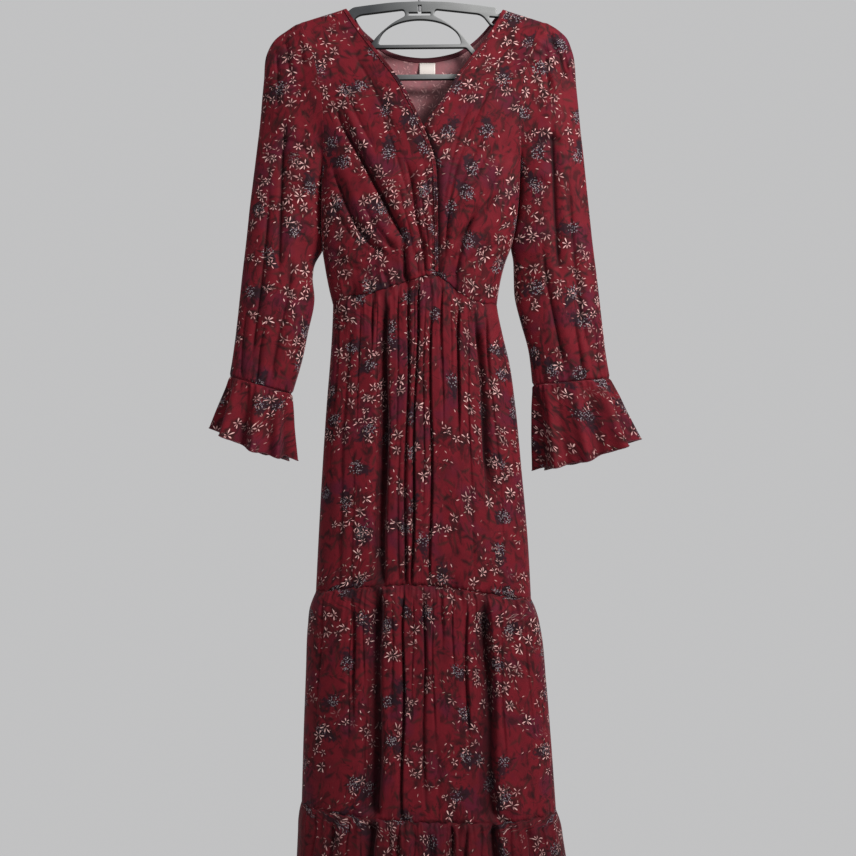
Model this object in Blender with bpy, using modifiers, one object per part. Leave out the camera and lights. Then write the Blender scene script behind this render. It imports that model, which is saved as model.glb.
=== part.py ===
"""A long-sleeved, wrap-front maxi dress in three gathered tiers, hanging on a flat plastic hanger.

Metres, +Z up. The origin is the inner top of the hanger's hook, where a rod carries it.
The front faces -Y. "right" and "left" are the wearer's own, so the dress's right side is at -X.
Every piece of cloth is a grid of points on its outer face, given its wall by a Solidify modifier.
"""
import math

import bmesh
import bpy
import numpy as np

# ---- driving sizes ---------------------------------------------------------------------------
CLOTH = 0.0012            # wall of the dress's panels
SEAM_GAP = 0.0003         # between two panels that are sewn together
UNDERARM_STEP = 0.0006    # more room where the armhole seam meets the side seam
WAIST_GAP = 0.0006        # the skirt's share of the gap at the arched waist seam
SEAM_STRIP = 0.0015       # straight strip of cloth along each seam
SHOULDER_ROLL = 0.0090    # radius of the cloth where it turns over the hanger
DRAPE_DROP = 0.170        # this far below the shoulder line the bodice has its full depth
SECTION_POWER = 2.5       # roundness of a flattened section: 2 is an ellipse, more is boxier
SIDE_EDGE = 0.45          # how steeply a section closes at its side seams
ARMHOLE_EDGE = 0.90       # the same at the armholes, where the cloth runs on into the sleeve
WAIST_SIDE_Z = -0.5190

NECK_BAND = 0.0055        # width of the turned band along the two front edges
BACK_BINDING = 0.0070     # width of the binding of the back neck
UNDER_BAND_END_Z = -0.275
TRIM = 0.0008             # wall of the bands, the binding and the label
TRIM_LIFT = 0.0004        # clearance under what lies on a panel
WRAP_TUCK = 0.0085        # how far the under front lies behind the over front
WRAP_TUCK_WAIST = 0.0045
LABEL_SIZE = (0.0230, 0.0165)
LABEL_LEFT_X = 0.0005

HANGER_THICKNESS = 0.0072
HANGER_TILT = math.radians(-0.5)
CORNER_STEPS = 2          # of each rounded corner of the hanger
HOOK_WIRE = 0.0036        # diameter
HOOK_RADIUS = 0.0218      # of the wire's centreline, so that its inner top is at the origin
STEM_BOTTOM_Z = -0.0925
HOOK_END_ANGLES = (-50.0, 200.0)
STEM_CLEARANCE = 0.0003

# ---- how finely the pieces are divided -----------------------------------------------------------
ARMHOLE_ANGLES = (0.0, 0.13, 0.25, 0.36, 0.58, 0.88, 1.22, 1.60, 2.00, 2.40, 2.78, math.pi)
SIDE_STEPS = 5
OVER_STEPS = 18
UNDER_STEPS = 12
SKIRT_FRONT_STEPS = 46
SKIRT_BACK_STEPS = 23
SLEEVE_ANGLES = (0.0, 0.13, 0.25, 0.36, 0.47, 0.58, 0.73, 0.88, 1.22, 1.60, 2.00, 2.40, 2.78, math.pi)
HEAD_GATHERS = (1.0, 0.0, 1.0, 0.0, 1.0, 0.0, 0.6, 0.0, 0.0, 0.0, 0.0, 0.0, 0.0, 0.0)
FLOUNCE_WAVES = 8
STEPS_PER_WAVE = 4
HEAD_GATHER_HEIGHT = 0.0038
HEAD_GATHER_REACH = 0.045
ARCH_STEPS = 14

# ---- tables, a row for each section, point or fold ------------------------------------------------
# Side edges of the bodice below the underarms: z, right x, left x
BODICE_EDGES = (
    (-0.3160, -0.1405, 0.1479),
    (-0.3400, -0.1412, 0.1466),
    (-0.3666, -0.1421, 0.1450),
    (-0.4029, -0.1421, 0.1407),
    (-0.4319, -0.1411, 0.1345),
    (-0.4594, -0.1372, 0.1245),
    (-0.5040, -0.1285, 0.1147),
    (-0.5190, -0.1247, 0.1129),
)
# Full depth of the bodice: z, front, back
BODICE_DEPTHS = (
    (-0.0800, 0.0290, 0.0230),
    (-0.2500, 0.0380, 0.0255),
    (-0.3300, 0.0430, 0.0285),
    (-0.4000, 0.0420, 0.0280),
    (-0.4600, 0.0370, 0.0260),
    (-0.5190, 0.0350, 0.0250),
)
# Tiers of the skirt: share of the drop, right x, left x, front depth, back depth
UPPER_TIER = (
    (0.00, -0.1247, 0.1129, 0.0350, 0.0250),
    (0.02, -0.1249, 0.1141, 0.0362, 0.0260),
    (0.10, -0.1262, 0.1212, 0.0385, 0.0290),
    (0.20, -0.1290, 0.1312, 0.0410, 0.0320),
    (0.32, -0.1331, 0.1385, 0.0435, 0.0345),
    (0.57, -0.1401, 0.1490, 0.0480, 0.0385),
    (0.82, -0.1459, 0.1583, 0.0520, 0.0415),
    (1.00, -0.1496, 0.1624, 0.0540, 0.0430),
)
MIDDLE_TIER = (
    (0.00, -0.1496, 0.1624, 0.0540, 0.0430),
    (0.03, -0.1535, 0.1668, 0.0585, 0.0465),
    (0.07, -0.1578, 0.1712, 0.0620, 0.0490),
    (0.16, -0.1612, 0.1772, 0.0637, 0.0505),
    (0.38, -0.1640, 0.1840, 0.0655, 0.0525),
    (0.70, -0.1675, 0.1920, 0.0680, 0.0545),
    (1.00, -0.1700, 0.1985, 0.0700, 0.0560),
)
LOWER_TIER = (
    (0.00, -0.1700, 0.1985, 0.0700, 0.0560),
    (0.06, -0.1724, 0.2018, 0.0738, 0.0588),
    (0.15, -0.1745, 0.2055, 0.0768, 0.0612),
    (0.32, -0.1756, 0.2090, 0.0787, 0.0630),
    (0.60, -0.1775, 0.2150, 0.0805, 0.0645),
    (1.00, -0.1826, 0.2235, 0.0830, 0.0665),
)
# Heights of the seams across the dress: x, front z, back z
WAIST_SEAM = (
    (-0.1247, -0.5190, -0.5190),
    (-0.1060, -0.5090, -0.5160),
    (-0.0665, -0.5040, -0.5130),
    (-0.0475, -0.4975, -0.5120),
    (-0.0270, -0.4905, -0.5112),
    (0.0000, -0.4825, -0.5110),
    (0.0220, -0.4790, -0.5113),
    (0.0400, -0.4880, -0.5120),
    (0.0600, -0.5050, -0.5135),
    (0.0815, -0.5155, -0.5165),
    (0.1129, -0.5190, -0.5190),
)
MIDDLE_SEAM = (
    (-0.1496, -0.9330, -0.9330),
    (-0.1000, -0.9255, -0.9310),
    (0.0060, -0.9200, -0.9300),
    (0.1000, -0.9325, -0.9370),
    (0.1624, -0.9450, -0.9450),
)
LOWER_SEAM = (
    (-0.1700, -1.2370, -1.2370),
    (-0.0900, -1.2440, -1.2400),
    (0.0100, -1.2500, -1.2430),
    (0.1100, -1.2520, -1.2470),
    (0.1985, -1.2500, -1.2500),
)
HEM = (
    (-0.1826, -1.3780, -1.3780),
    (-0.0900, -1.3850, -1.3810),
    (0.0100, -1.3900, -1.3840),
    (0.1200, -1.3900, -1.3850),
    (0.2235, -1.3840, -1.3840),
)
# Edge of the over front, and of the under front, from the neck point to the waist: z, x
OVER_EDGE = (
    (-0.0890, -0.1059),
    (-0.1230, -0.0835),
    (-0.1564, -0.0589),
    (-0.1924, -0.0321),
    (-0.2372, -0.0074),
    (-0.2839, 0.0126),
    (-0.3178, 0.0235),
    (-0.3600, 0.0262),
    (-0.4200, 0.0272),
    (-0.4790, 0.0276),
)
UNDER_EDGE = (
    (-0.0904, 0.1218),
    (-0.1331, 0.0982),
    (-0.1628, 0.0749),
    (-0.1889, 0.0568),
    (-0.2216, 0.0385),
    (-0.2566, 0.0130),
    (-0.3100, -0.0190),
    (-0.3730, -0.0348),
    (-0.4500, -0.0490),
    (-0.5000, -0.0565),
)
# Back neckline: x, z
BACK_NECK = (
    (-0.1059, -0.0890),
    (-0.0965, -0.0945),
    (-0.0870, -0.1110),
    (-0.0690, -0.1290),
    (-0.0450, -0.1465),
    (-0.0270, -0.1522),
    (-0.0080, -0.1552),
    (0.0120, -0.1558),
    (0.0350, -0.1532),
    (0.0620, -0.1452),
    (0.0850, -0.1290),
    (0.1020, -0.1110),
    (0.1122, -0.0985),
    (0.1218, -0.0904),
)
# Armholes: shoulder tip (x, z), underarm (x, z), half depth, bow towards the body
ARMHOLES = {
    "right": ((-0.1711, -0.1093), (-0.1405, -0.3260), 0.0230, 0.0150),
    "left": ((0.1769, -0.1078), (0.1479, -0.3160), 0.0230, -0.0150),
}
# Sleeves, a ring a row, the last one at the cuff seam:
# outer x, outer z, inner x, inner z, half depth, middle y, bow
SLEEVES = {
    "right": (
        (-0.1880, -0.1190, -0.1437, -0.3310, 0.0245, 0.0000, 0.0130),
        (-0.2080, -0.1320, -0.1445, -0.3450, 0.0256, 0.0025, 0.0095),
        (-0.2205, -0.1510, -0.1445, -0.3650, 0.0262, 0.0055, 0.0055),
        (-0.2262, -0.1950, -0.1440, -0.3990, 0.0262, 0.0085, 0.0015),
        (-0.2330, -0.2650, -0.1475, -0.4400, 0.0258, 0.0088, 0.0000),
        (-0.2420, -0.3400, -0.1545, -0.4750, 0.0250, 0.0065, 0.0000),
        (-0.2500, -0.4150, -0.1520, -0.5120, 0.0245, 0.0035, 0.0000),
        (-0.2600, -0.5060, -0.1610, -0.5580, 0.0237, 0.0010, 0.0000),
        (-0.2680, -0.5820, -0.1725, -0.6080, 0.0231, 0.0000, 0.0000),
        (-0.2735, -0.6225, -0.1858, -0.6475, 0.0228, 0.0000, 0.0000),
    ),
    "left": (
        (0.1930, -0.1150, 0.1508, -0.3215, 0.0245, 0.0000, -0.0130),
        (0.2110, -0.1270, 0.1505, -0.3360, 0.0256, 0.0025, -0.0095),
        (0.2225, -0.1490, 0.1488, -0.3560, 0.0262, 0.0055, -0.0055),
        (0.2290, -0.2000, 0.1452, -0.3920, 0.0262, 0.0085, -0.0015),
        (0.2355, -0.2650, 0.1415, -0.4360, 0.0258, 0.0088, 0.0000),
        (0.2430, -0.3380, 0.1390, -0.4760, 0.0250, 0.0065, 0.0000),
        (0.2510, -0.4180, 0.1408, -0.5080, 0.0245, 0.0035, 0.0000),
        (0.2610, -0.5020, 0.1478, -0.5450, 0.0237, 0.0010, 0.0000),
        (0.2690, -0.5780, 0.1595, -0.5880, 0.0231, 0.0000, 0.0000),
        (0.2755, -0.6250, 0.1665, -0.6350, 0.0228, 0.0000, 0.0000),
    ),
}
# Cuff flounces below the cuff seam, a ring a row:
# outer x, outer z, inner x, inner z, half depth, drop of its middle, height of its waves
FLOUNCES = {
    "right": (
        (-0.2765, -0.6400, -0.1862, -0.6640, 0.0255, 0.0015, 0.0022),
        (-0.2840, -0.6680, -0.1867, -0.6960, 0.0290, 0.0045, 0.0042),
        (-0.2920, -0.6990, -0.1850, -0.7380, 0.0330, 0.0090, 0.0058),
    ),
    "left": (
        (0.2825, -0.6430, 0.1674, -0.6560, 0.0255, 0.0015, 0.0022),
        (0.2940, -0.6750, 0.1695, -0.6960, 0.0290, 0.0045, 0.0042),
        (0.3100, -0.7140, 0.1735, -0.7530, 0.0330, 0.0080, 0.0058),
    ),
}
# Drape folds of the bodice: points (x, z) from start to end, depth, half width
OVER_FOLDS = (
    (((-0.1254, -0.2168), (-0.1129, -0.2557), (-0.0911, -0.2961), (-0.0698, -0.3363),
      (-0.0510, -0.3716), (-0.0345, -0.4025), (-0.0183, -0.4300)), 0.0062, 0.0085),
    (((-0.1305, -0.3089), (-0.1152, -0.3466), (-0.1007, -0.3834), (-0.0865, -0.4118),
      (-0.0679, -0.4353), (-0.0467, -0.4495)), 0.0052, 0.0080),
    (((-0.0751, -0.3952), (-0.0557, -0.4255), (-0.0368, -0.4422)), 0.0028, 0.0075),
    (((-0.0253, -0.3010), (-0.0133, -0.3363), (-0.0041, -0.3952), (0.0031, -0.4304),
      (0.0056, -0.4700)), 0.0042, 0.0075),
    (((0.0045, -0.3078), (0.0110, -0.3438), (0.0176, -0.3883), (0.0214, -0.4101),
      (0.0252, -0.4394)), 0.0020, 0.0065),
)
UNDER_FOLDS = (
    (((0.1250, -0.3350), (0.0900, -0.3900), (0.0600, -0.4300), (0.0420, -0.4650)), 0.0030, 0.0120),
    (((0.1150, -0.2350), (0.0800, -0.3000), (0.0560, -0.3600), (0.0400, -0.4200)), 0.0024, 0.0130),
)
BACK_FOLDS = (
    (((-0.1150, -0.2500), (-0.0880, -0.3300), (-0.0650, -0.4200), (-0.0560, -0.4950)), 0.0032, 0.0130),
    (((0.1180, -0.2400), (0.0900, -0.3300), (0.0680, -0.4200), (0.0540, -0.4950)), 0.0032, 0.0130),
    (((0.0050, -0.3000), (0.0000, -0.4000), (-0.0020, -0.4950)), 0.0026, 0.0140),
)
# Long folds of a tier: x at its top, x at its bottom, share where it starts, share where it
# ends, depth, half width
UPPER_FRONT_FOLDS = (
    (-0.0980, -0.1150, 0.10, 0.95, 0.0047, 0.0100),
    (-0.0677, -0.0740, 0.00, 0.55, 0.0054, 0.0075),
    (-0.0437, -0.0490, 0.02, 1.00, 0.0115, 0.0095),
    (-0.0153, -0.0210, 0.03, 1.00, 0.0081, 0.0075),
    (0.0003, -0.0090, 0.03, 0.90, 0.0068, 0.0070),
    (0.0188, 0.0170, 0.02, 0.98, 0.0081, 0.0075),
    (0.0570, 0.0500, 0.03, 1.00, 0.0081, 0.0085),
    (0.0796, 0.1040, 0.05, 1.00, 0.0088, 0.0100),
)
MIDDLE_FRONT_FOLDS = (
    (-0.1150, -0.1250, 0.04, 0.80, 0.0061, 0.0100),
    (-0.0540, -0.0580, 0.02, 1.00, 0.0128, 0.0115),
    (-0.0214, -0.0240, 0.02, 1.00, 0.0081, 0.0090),
    (0.0080, 0.0090, 0.03, 1.00, 0.0074, 0.0085),
    (0.0350, 0.0380, 0.02, 0.70, 0.0054, 0.0085),
    (0.0631, 0.0650, 0.02, 1.00, 0.0088, 0.0095),
    (0.0960, 0.1040, 0.03, 1.00, 0.0128, 0.0120),
    (0.1340, 0.1460, 0.05, 1.00, 0.0061, 0.0105),
)
LOWER_FRONT_FOLDS = (
    (-0.1200, -0.1280, 0.05, 1.00, 0.0074, 0.0110),
    (-0.0600, -0.0640, 0.05, 1.00, 0.0121, 0.0125),
    (-0.0230, -0.0240, 0.05, 1.00, 0.0081, 0.0100),
    (0.0090, 0.0100, 0.05, 1.00, 0.0081, 0.0100),
    (0.0680, 0.0720, 0.05, 1.00, 0.0101, 0.0105),
    (0.1060, 0.1140, 0.05, 1.00, 0.0115, 0.0125),
    (0.1520, 0.1630, 0.05, 1.00, 0.0068, 0.0115),
)
UPPER_BACK_FOLDS = (
    (-0.0850, -0.0980, 0.02, 0.90, 0.0060, 0.0115),
    (-0.0450, -0.0500, 0.02, 1.00, 0.0078, 0.0120),
    (-0.0050, -0.0080, 0.02, 0.95, 0.0066, 0.0110),
    (0.0380, 0.0440, 0.02, 1.00, 0.0078, 0.0120),
    (0.0780, 0.0960, 0.02, 0.90, 0.0060, 0.0115),
)
MIDDLE_BACK_FOLDS = (
    (-0.1020, -0.1100, 0.03, 1.00, 0.0072, 0.0135),
    (-0.0480, -0.0500, 0.03, 1.00, 0.0084, 0.0130),
    (0.0020, 0.0050, 0.03, 1.00, 0.0072, 0.0130),
    (0.0560, 0.0600, 0.03, 1.00, 0.0084, 0.0130),
    (0.1120, 0.1220, 0.03, 1.00, 0.0072, 0.0135),
)
LOWER_BACK_FOLDS = (
    (-0.1120, -0.1180, 0.05, 1.00, 0.0072, 0.0140),
    (-0.0500, -0.0520, 0.05, 1.00, 0.0084, 0.0140),
    (0.0080, 0.0090, 0.05, 1.00, 0.0078, 0.0140),
    (0.0680, 0.0720, 0.05, 1.00, 0.0084, 0.0140),
    (0.1320, 0.1420, 0.05, 1.00, 0.0072, 0.0140),
)
# Skirt panels: name, tier, top seam, bottom seam, row shares, long folds,
# number of gathers, their height, their reach, turn of their unevenness
UPPER_SHARES = (0.0, 0.02, 0.06, 0.14, 0.30, 0.60, 0.965, 1.0)
MIDDLE_SHARES = (0.0, 0.025, 0.065, 0.15, 0.36, 0.955, 1.0)
LOWER_SHARES = (0.0, 0.06, 0.16, 0.45, 1.0)
SKIRT_PANELS = (
    ("skirt_upper_front", UPPER_TIER, WAIST_SEAM, MIDDLE_SEAM, UPPER_SHARES, UPPER_FRONT_FOLDS,
     16, 0.0028, 0.060, 0.0),
    ("skirt_upper_back", UPPER_TIER, WAIST_SEAM, MIDDLE_SEAM, UPPER_SHARES, UPPER_BACK_FOLDS,
     9, 0.0028, 0.070, 1.0),
    ("skirt_middle_front", MIDDLE_TIER, MIDDLE_SEAM, LOWER_SEAM, MIDDLE_SHARES, MIDDLE_FRONT_FOLDS,
     18, 0.0032, 0.045, 2.0),
    ("skirt_middle_back", MIDDLE_TIER, MIDDLE_SEAM, LOWER_SEAM, MIDDLE_SHARES, MIDDLE_BACK_FOLDS,
     10, 0.0032, 0.055, 3.0),
    ("skirt_lower_front", LOWER_TIER, LOWER_SEAM, HEM, LOWER_SHARES, LOWER_FRONT_FOLDS,
     20, 0.0035, 0.050, 4.0),
    ("skirt_lower_back", LOWER_TIER, LOWER_SEAM, HEM, LOWER_SHARES, LOWER_BACK_FOLDS,
     11, 0.0035, 0.060, 5.0),
)

# The hanger, level: corners (x, z, radius) of the +X half of each outline
FRAME_EDGE = (
    (0.0000, -0.0788, 0.0), (0.0400, -0.0803, 0.012), (0.1030, -0.0941, 0.008),
    (0.1135, -0.0957, 0.001), (0.1140, -0.0995, 0.002), (0.1215, -0.1005, 0.002),
    (0.1220, -0.0967, 0.001), (0.1650, -0.1112, 0.008), (0.1800, -0.1187, 0.006),
    (0.1920, -0.1260, 0.006), (0.1900, -0.1375, 0.006), (0.1650, -0.1280, 0.008),
    (0.1230, -0.1160, 0.006), (0.1040, -0.1165, 0.006), (0.0900, -0.0985, 0.008),
    (0.0560, -0.0945, 0.008), (0.0225, -0.0907, 0.005), (0.0205, -0.0995, 0.004),
    (0.0400, -0.1095, 0.010), (0.0600, -0.1260, 0.010), (0.0761, -0.1462, 0.008),
    (0.1110, -0.1870, 0.008), (0.1060, -0.1926, 0.004),
)
LOWER_OPENING = (
    (0.0670, -0.1469, 0.003), (0.0990, -0.1846, 0.003),
)
STEM_WINDOW = (
    (0.0024, -0.0847, 0.0), (0.0024, -0.0952, 0.0), (0.0158, -0.0952, 0.001), (0.0158, -0.0992, 0.001),
)
STRAP_HOLE = (
    (0.1040, -0.1030, 0.002), (0.1150, -0.1040, 0.002), (0.1140, -0.1115, 0.004), (0.1070, -0.1125, 0.004),
)
ARCH_HALF_WIDTH = 0.0595
ARCH_BASE_Z = -0.1413
ARCH_HEIGHT = 0.0357
HOOK_STEM = (
    (0.0, STEM_BOTTOM_Z), (0.0, -0.0750), (0.0, -0.0600), (0.0008, -0.0545), (0.0035, -0.0485),
    (0.0080, -0.0425),
)

# ---- colours -------------------------------------------------------------------------------------
BURGUNDY = (0.185, 0.014, 0.024, 1.0)
DARK_BURGUNDY = (0.075, 0.006, 0.014, 1.0)
LABEL_WHITE = (0.80, 0.76, 0.72, 1.0)
HANGER_GREY = (0.075, 0.085, 0.088, 1.0)
STEEL = (0.55, 0.55, 0.57, 1.0)

UP = np.array((0.0, 0.0, 1.0))
ACROSS = np.array((1.0, 0.0, 0.0))
BACKWARD = np.array((0.0, 1.0, 0.0))


# ---- reading the tables ------------------------------------------------------------------------
def smooth_step(value):
    """0 below 0, 1 above 1, and an even S between."""
    value = min(1.0, max(0.0, value))
    return value * value * (3.0 - 2.0 * value)


def read(rows, key):
    """A table's other columns where its first one has this value, on a smooth curve through the rows."""
    table = np.array(rows)
    if table[0, 0] > table[-1, 0]:
        table = table[::-1]
    keys = table[:, 0]
    values = table[:, 1:]
    key = min(keys[-1], max(keys[0], key))
    first = min(len(keys) - 2, int(np.searchsorted(keys, key, side="right")) - 1)
    span = keys[first + 1] - keys[first]
    slopes = np.gradient(values, keys, axis=0)[first:first + 2] * span
    t = (key - keys[first]) / span
    return ((2 * t**3 - 3 * t**2 + 1) * values[first] + (t**3 - 2 * t**2 + t) * slopes[0]
            + (3 * t**2 - 2 * t**3) * values[first + 1] + (t**3 - t**2) * slopes[1])


def section_share(c, edge=SIDE_EDGE):
    """Depth of a flattened section as a share of its full depth, at c from -1 to 1 across it."""
    return max(0.0, 1.0 - abs(c) ** SECTION_POWER) ** edge


def even_places(count, half_width, depth):
    """Values of c that cut a section's curve into steps of equal length."""
    fine = -np.cos(np.linspace(0.0, math.pi, 401))
    curve = np.array([(half_width * c, depth * section_share(c)) for c in fine])
    lengths = np.concatenate(([0.0], np.cumsum(np.linalg.norm(np.diff(curve, axis=0), axis=1))))
    return np.interp(np.linspace(0.0, lengths[-1], count + 1), lengths, fine)


# ---- folds and gathers ----------------------------------------------------------------------------
def drape_relief(x, z, folds):
    """Relief of the bodice's drape folds: each is a valley with a low ridge on one side."""
    here = np.array((x, z))
    relief = 0.0
    for line, depth, width in folds:
        points = np.array(line)
        steps = np.diff(points, axis=0)
        sizes = np.linalg.norm(steps, axis=1)
        shares = np.clip(np.sum((here - points[:-1]) * steps, axis=1) / sizes**2, 0.0, 1.0)
        offsets = here - points[:-1] - shares[:, None] * steps
        distances = np.linalg.norm(offsets, axis=1)
        nearest = int(np.argmin(distances))
        step, offset = steps[nearest], offsets[nearest]
        side = math.copysign(distances[nearest], step[0] * offset[1] - step[1] * offset[0])
        place = (np.sum(sizes[:nearest]) + shares[nearest] * sizes[nearest]) / np.sum(sizes)
        strength = smooth_step(place / 0.30) * smooth_step((1.05 - place) / 0.15)
        valley = math.exp(-((side / width) ** 2))
        ridge = math.exp(-(((side - 1.7 * width) / (1.2 * width)) ** 2))
        relief += depth * strength * (0.45 * ridge - valley)
    return relief


def tier_relief(x, top_x, share, drop, folds, gathers):
    """Relief of a tier at a share of its drop: long folds, and gathers that die out downwards."""
    relief = 0.0
    for top, bottom, start, end, depth, width in folds:
        strength = smooth_step((share - start) / 0.10) * smooth_step((end + 0.12 - share) / 0.22)
        away = (x - top - (bottom - top) * share) / (width * (0.80 + 0.35 * share))
        relief -= depth * strength * math.exp(-away**2)
    for place, height, width, reach in gathers:
        strength = smooth_step(drop / 0.012) * math.exp(-drop / reach)
        away = (top_x - place) / (width * (1.0 + 0.6 * min(1.0, drop / 0.10)))
        relief += height * strength * math.exp(-away**2)
    return relief


def gathers_along(count, right, left, height, reach, turn):
    """Gathers spread along a seam, uneven in place, height and reach."""
    spacing = (left - right) / count
    gathers = []
    for index in range(count):
        place = right + spacing * (index + 0.5 + 0.22 * math.sin(2.4 * index + turn))
        size = height * (0.75 + 0.35 * math.sin(1.7 * index + 2.0 * turn))
        gathers.append((place, size, 0.32 * spacing, reach * (1.0 + 0.6 * math.cos(3.1 * index))))
    return gathers


# ---- the shape of the body ------------------------------------------------------------------------
def armhole_point(side, angle):
    """A point of the front half of an armhole seam: angle 0 at the shoulder tip, pi at the underarm."""
    tip, under, depth, bow = ARMHOLES[side]
    x = (tip[0] + under[0]) / 2 + (tip[0] - under[0]) / 2 * math.cos(angle) + bow * math.sin(angle) ** 2
    z = (tip[1] + under[1]) / 2 + (tip[1] - under[1]) / 2 * math.cos(angle)
    return np.array((x, -depth * math.sin(angle), z))


def side_edge(side, z):
    """Where the body ends at a height: x, the depth there, and 0 at a side seam up to 1 mid armhole."""
    tip, under, _, _ = ARMHOLES[side]
    if z > under[1]:
        middle = (tip[1] + under[1]) / 2
        angle = math.acos(min(1.0, (z - middle) / (tip[1] - middle)))
        point = armhole_point(side, angle)
        return point[0], -point[1], math.sin(angle)
    return read(BODICE_EDGES, z)[0 if side == "right" else 1], 0.0, 0.0


def shoulder_height(x):
    """Height of the shoulder line, which also runs on past the neck point."""
    tip, neck = (ARMHOLES["right"][0], OVER_EDGE[0]) if x < 0 else (ARMHOLES["left"][0], UNDER_EDGE[0])
    return neck[0] + (tip[1] - neck[0]) / (tip[0] - neck[1]) * (x - neck[1])


def body_depth(x, z, front):
    """Distance of the front or back cloth from the hanger's middle plane, without folds."""
    right_x, right_depth, right_open = side_edge("right", z)
    left_x, left_depth, left_open = side_edge("left", z)
    across = min(1.0, max(0.0, (x - right_x) / (left_x - right_x)))
    edge_depth = right_depth + (left_depth - right_depth) * across
    openness = right_open + (left_open - right_open) * across
    fall = max(0.0, shoulder_height(x) - z)
    rolled = math.sqrt(SHOULDER_ROLL**2 - (SHOULDER_ROLL - min(fall, SHOULDER_ROLL)) ** 2)
    full = read(BODICE_DEPTHS, z)[0 if front else 1]
    depth = rolled + (full - SHOULDER_ROLL) * smooth_step(fall / DRAPE_DROP)
    edge = SIDE_EDGE + (ARMHOLE_EDGE - SIDE_EDGE) * min(1.0, 1.6 * openness)
    least = 0.75 * rolled * smooth_step((0.045 - fall) / 0.030)
    return max(least, edge_depth + (depth - edge_depth) * section_share(2.0 * across - 1.0, edge))


def wrap_tuck(x, z):
    """How far the under front steps back behind the over front's edge."""
    reach = WRAP_TUCK + (WRAP_TUCK_WAIST - WRAP_TUCK) * smooth_step((-0.435 - z) / 0.045)
    return reach * smooth_step((read(OVER_EDGE, z)[0] - x + 0.012) / 0.026)


def seam_side(side):
    """Points down a bodice panel's outer edge: those of the armhole, then those of the side seam."""
    under = ARMHOLES[side][1]
    points = [armhole_point(side, angle) for angle in ARMHOLE_ANGLES]
    for step in range(1, SIDE_STEPS + 1):
        z = under[1] + (WAIST_SIDE_Z - under[1]) * step / SIDE_STEPS
        points.append(np.array((side_edge(side, z)[0], 0.0, z)))
    return points


# ---- grids of points ------------------------------------------------------------------------------
def with_strip(grid, where, directions, gap=SEAM_GAP / 2):
    """Gives one edge of a grid its seam: its share of the gap, then a straight strip of cloth."""
    if where in ("first", "last"):
        turned = [list(column) for column in zip(*grid)]
        end = "top" if where == "first" else "bottom"
        return [list(row) for row in zip(*with_strip(turned, end, directions, gap))]
    edge = grid[0] if where == "top" else grid[-1]
    seam = [point + gap * toward for point, toward in zip(edge, directions)]
    strip = [point + SEAM_STRIP * toward for point, toward in zip(edge, directions)]
    return [seam, strip] + grid[1:] if where == "top" else grid[:-1] + [strip, seam]


def seam_directions(side, facing, count):
    """Which way a bodice panel steps back from its outer edge, down its armhole and its side seam."""
    inward = ACROSS if side == "right" else -ACROSS
    armhole = len(ARMHOLE_ANGLES) - 1
    return [inward] * armhole + [facing * BACKWARD] * (count - armhole)


def front_grid(side, edge_line, steps, folds, tuck):
    """A front bodice panel: rows from the shoulder down, columns from its side to its free edge."""
    outer = seam_side(side)
    top_z = edge_line[0][0]
    bottom_x = edge_line[-1][1]
    bottom_z = read(WAIST_SEAM, bottom_x)[0]
    scale = (bottom_z - top_z) / (outer[-1][2] - outer[0][2])
    ends = []
    for point in outer:
        z = top_z + (point[2] - outer[0][2]) * scale
        ends.append(np.array((read(edge_line, z)[0], 0.0, z)))
    ends[-1][0] = bottom_x
    grid = []
    for number, (start, end) in enumerate(zip(outer, ends)):
        down = number / (len(outer) - 1)
        band_share = 1.0 - NECK_BAND / abs(end[0] - start[0])
        shares = [band_share * (step / steps) ** 1.1 for step in range(steps + 1)] + [1.0]
        row = []
        for share in shares:
            x = start[0] + (end[0] - start[0]) * share
            z = start[2] + (end[2] - start[2]) * share
            straight = outer[-1][2] + (ends[-1][2] - outer[-1][2]) * share
            waist = read(WAIST_SEAM, outer[-1][0] + (ends[-1][0] - outer[-1][0]) * share)[0]
            z += (waist - straight) * down**5
            calm = smooth_step(share * abs(end[0] - start[0]) / 0.025) * smooth_step((1.0 - down) / 0.06)
            depth = body_depth(x, z, True) + calm * drape_relief(x, z, folds)
            depth = max(depth - tuck(x, z), 0.0) if number else 0.0
            row.append(np.array((x, -depth, z)))
        row[0] = start.copy()
        grid.append(row)
    grid = with_strip(grid, "first", seam_directions(side, -1.0, len(outer)))
    grid[len(ARMHOLE_ANGLES) - 1][0] -= UNDERARM_STEP * BACKWARD
    grid = with_strip(grid, "top", [-BACKWARD] * len(grid[0]))
    return with_strip(grid, "bottom", [UP] * len(grid[0]))


SHOULDER_SHARES = (0.0, 0.012, 0.045, 0.105)


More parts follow.
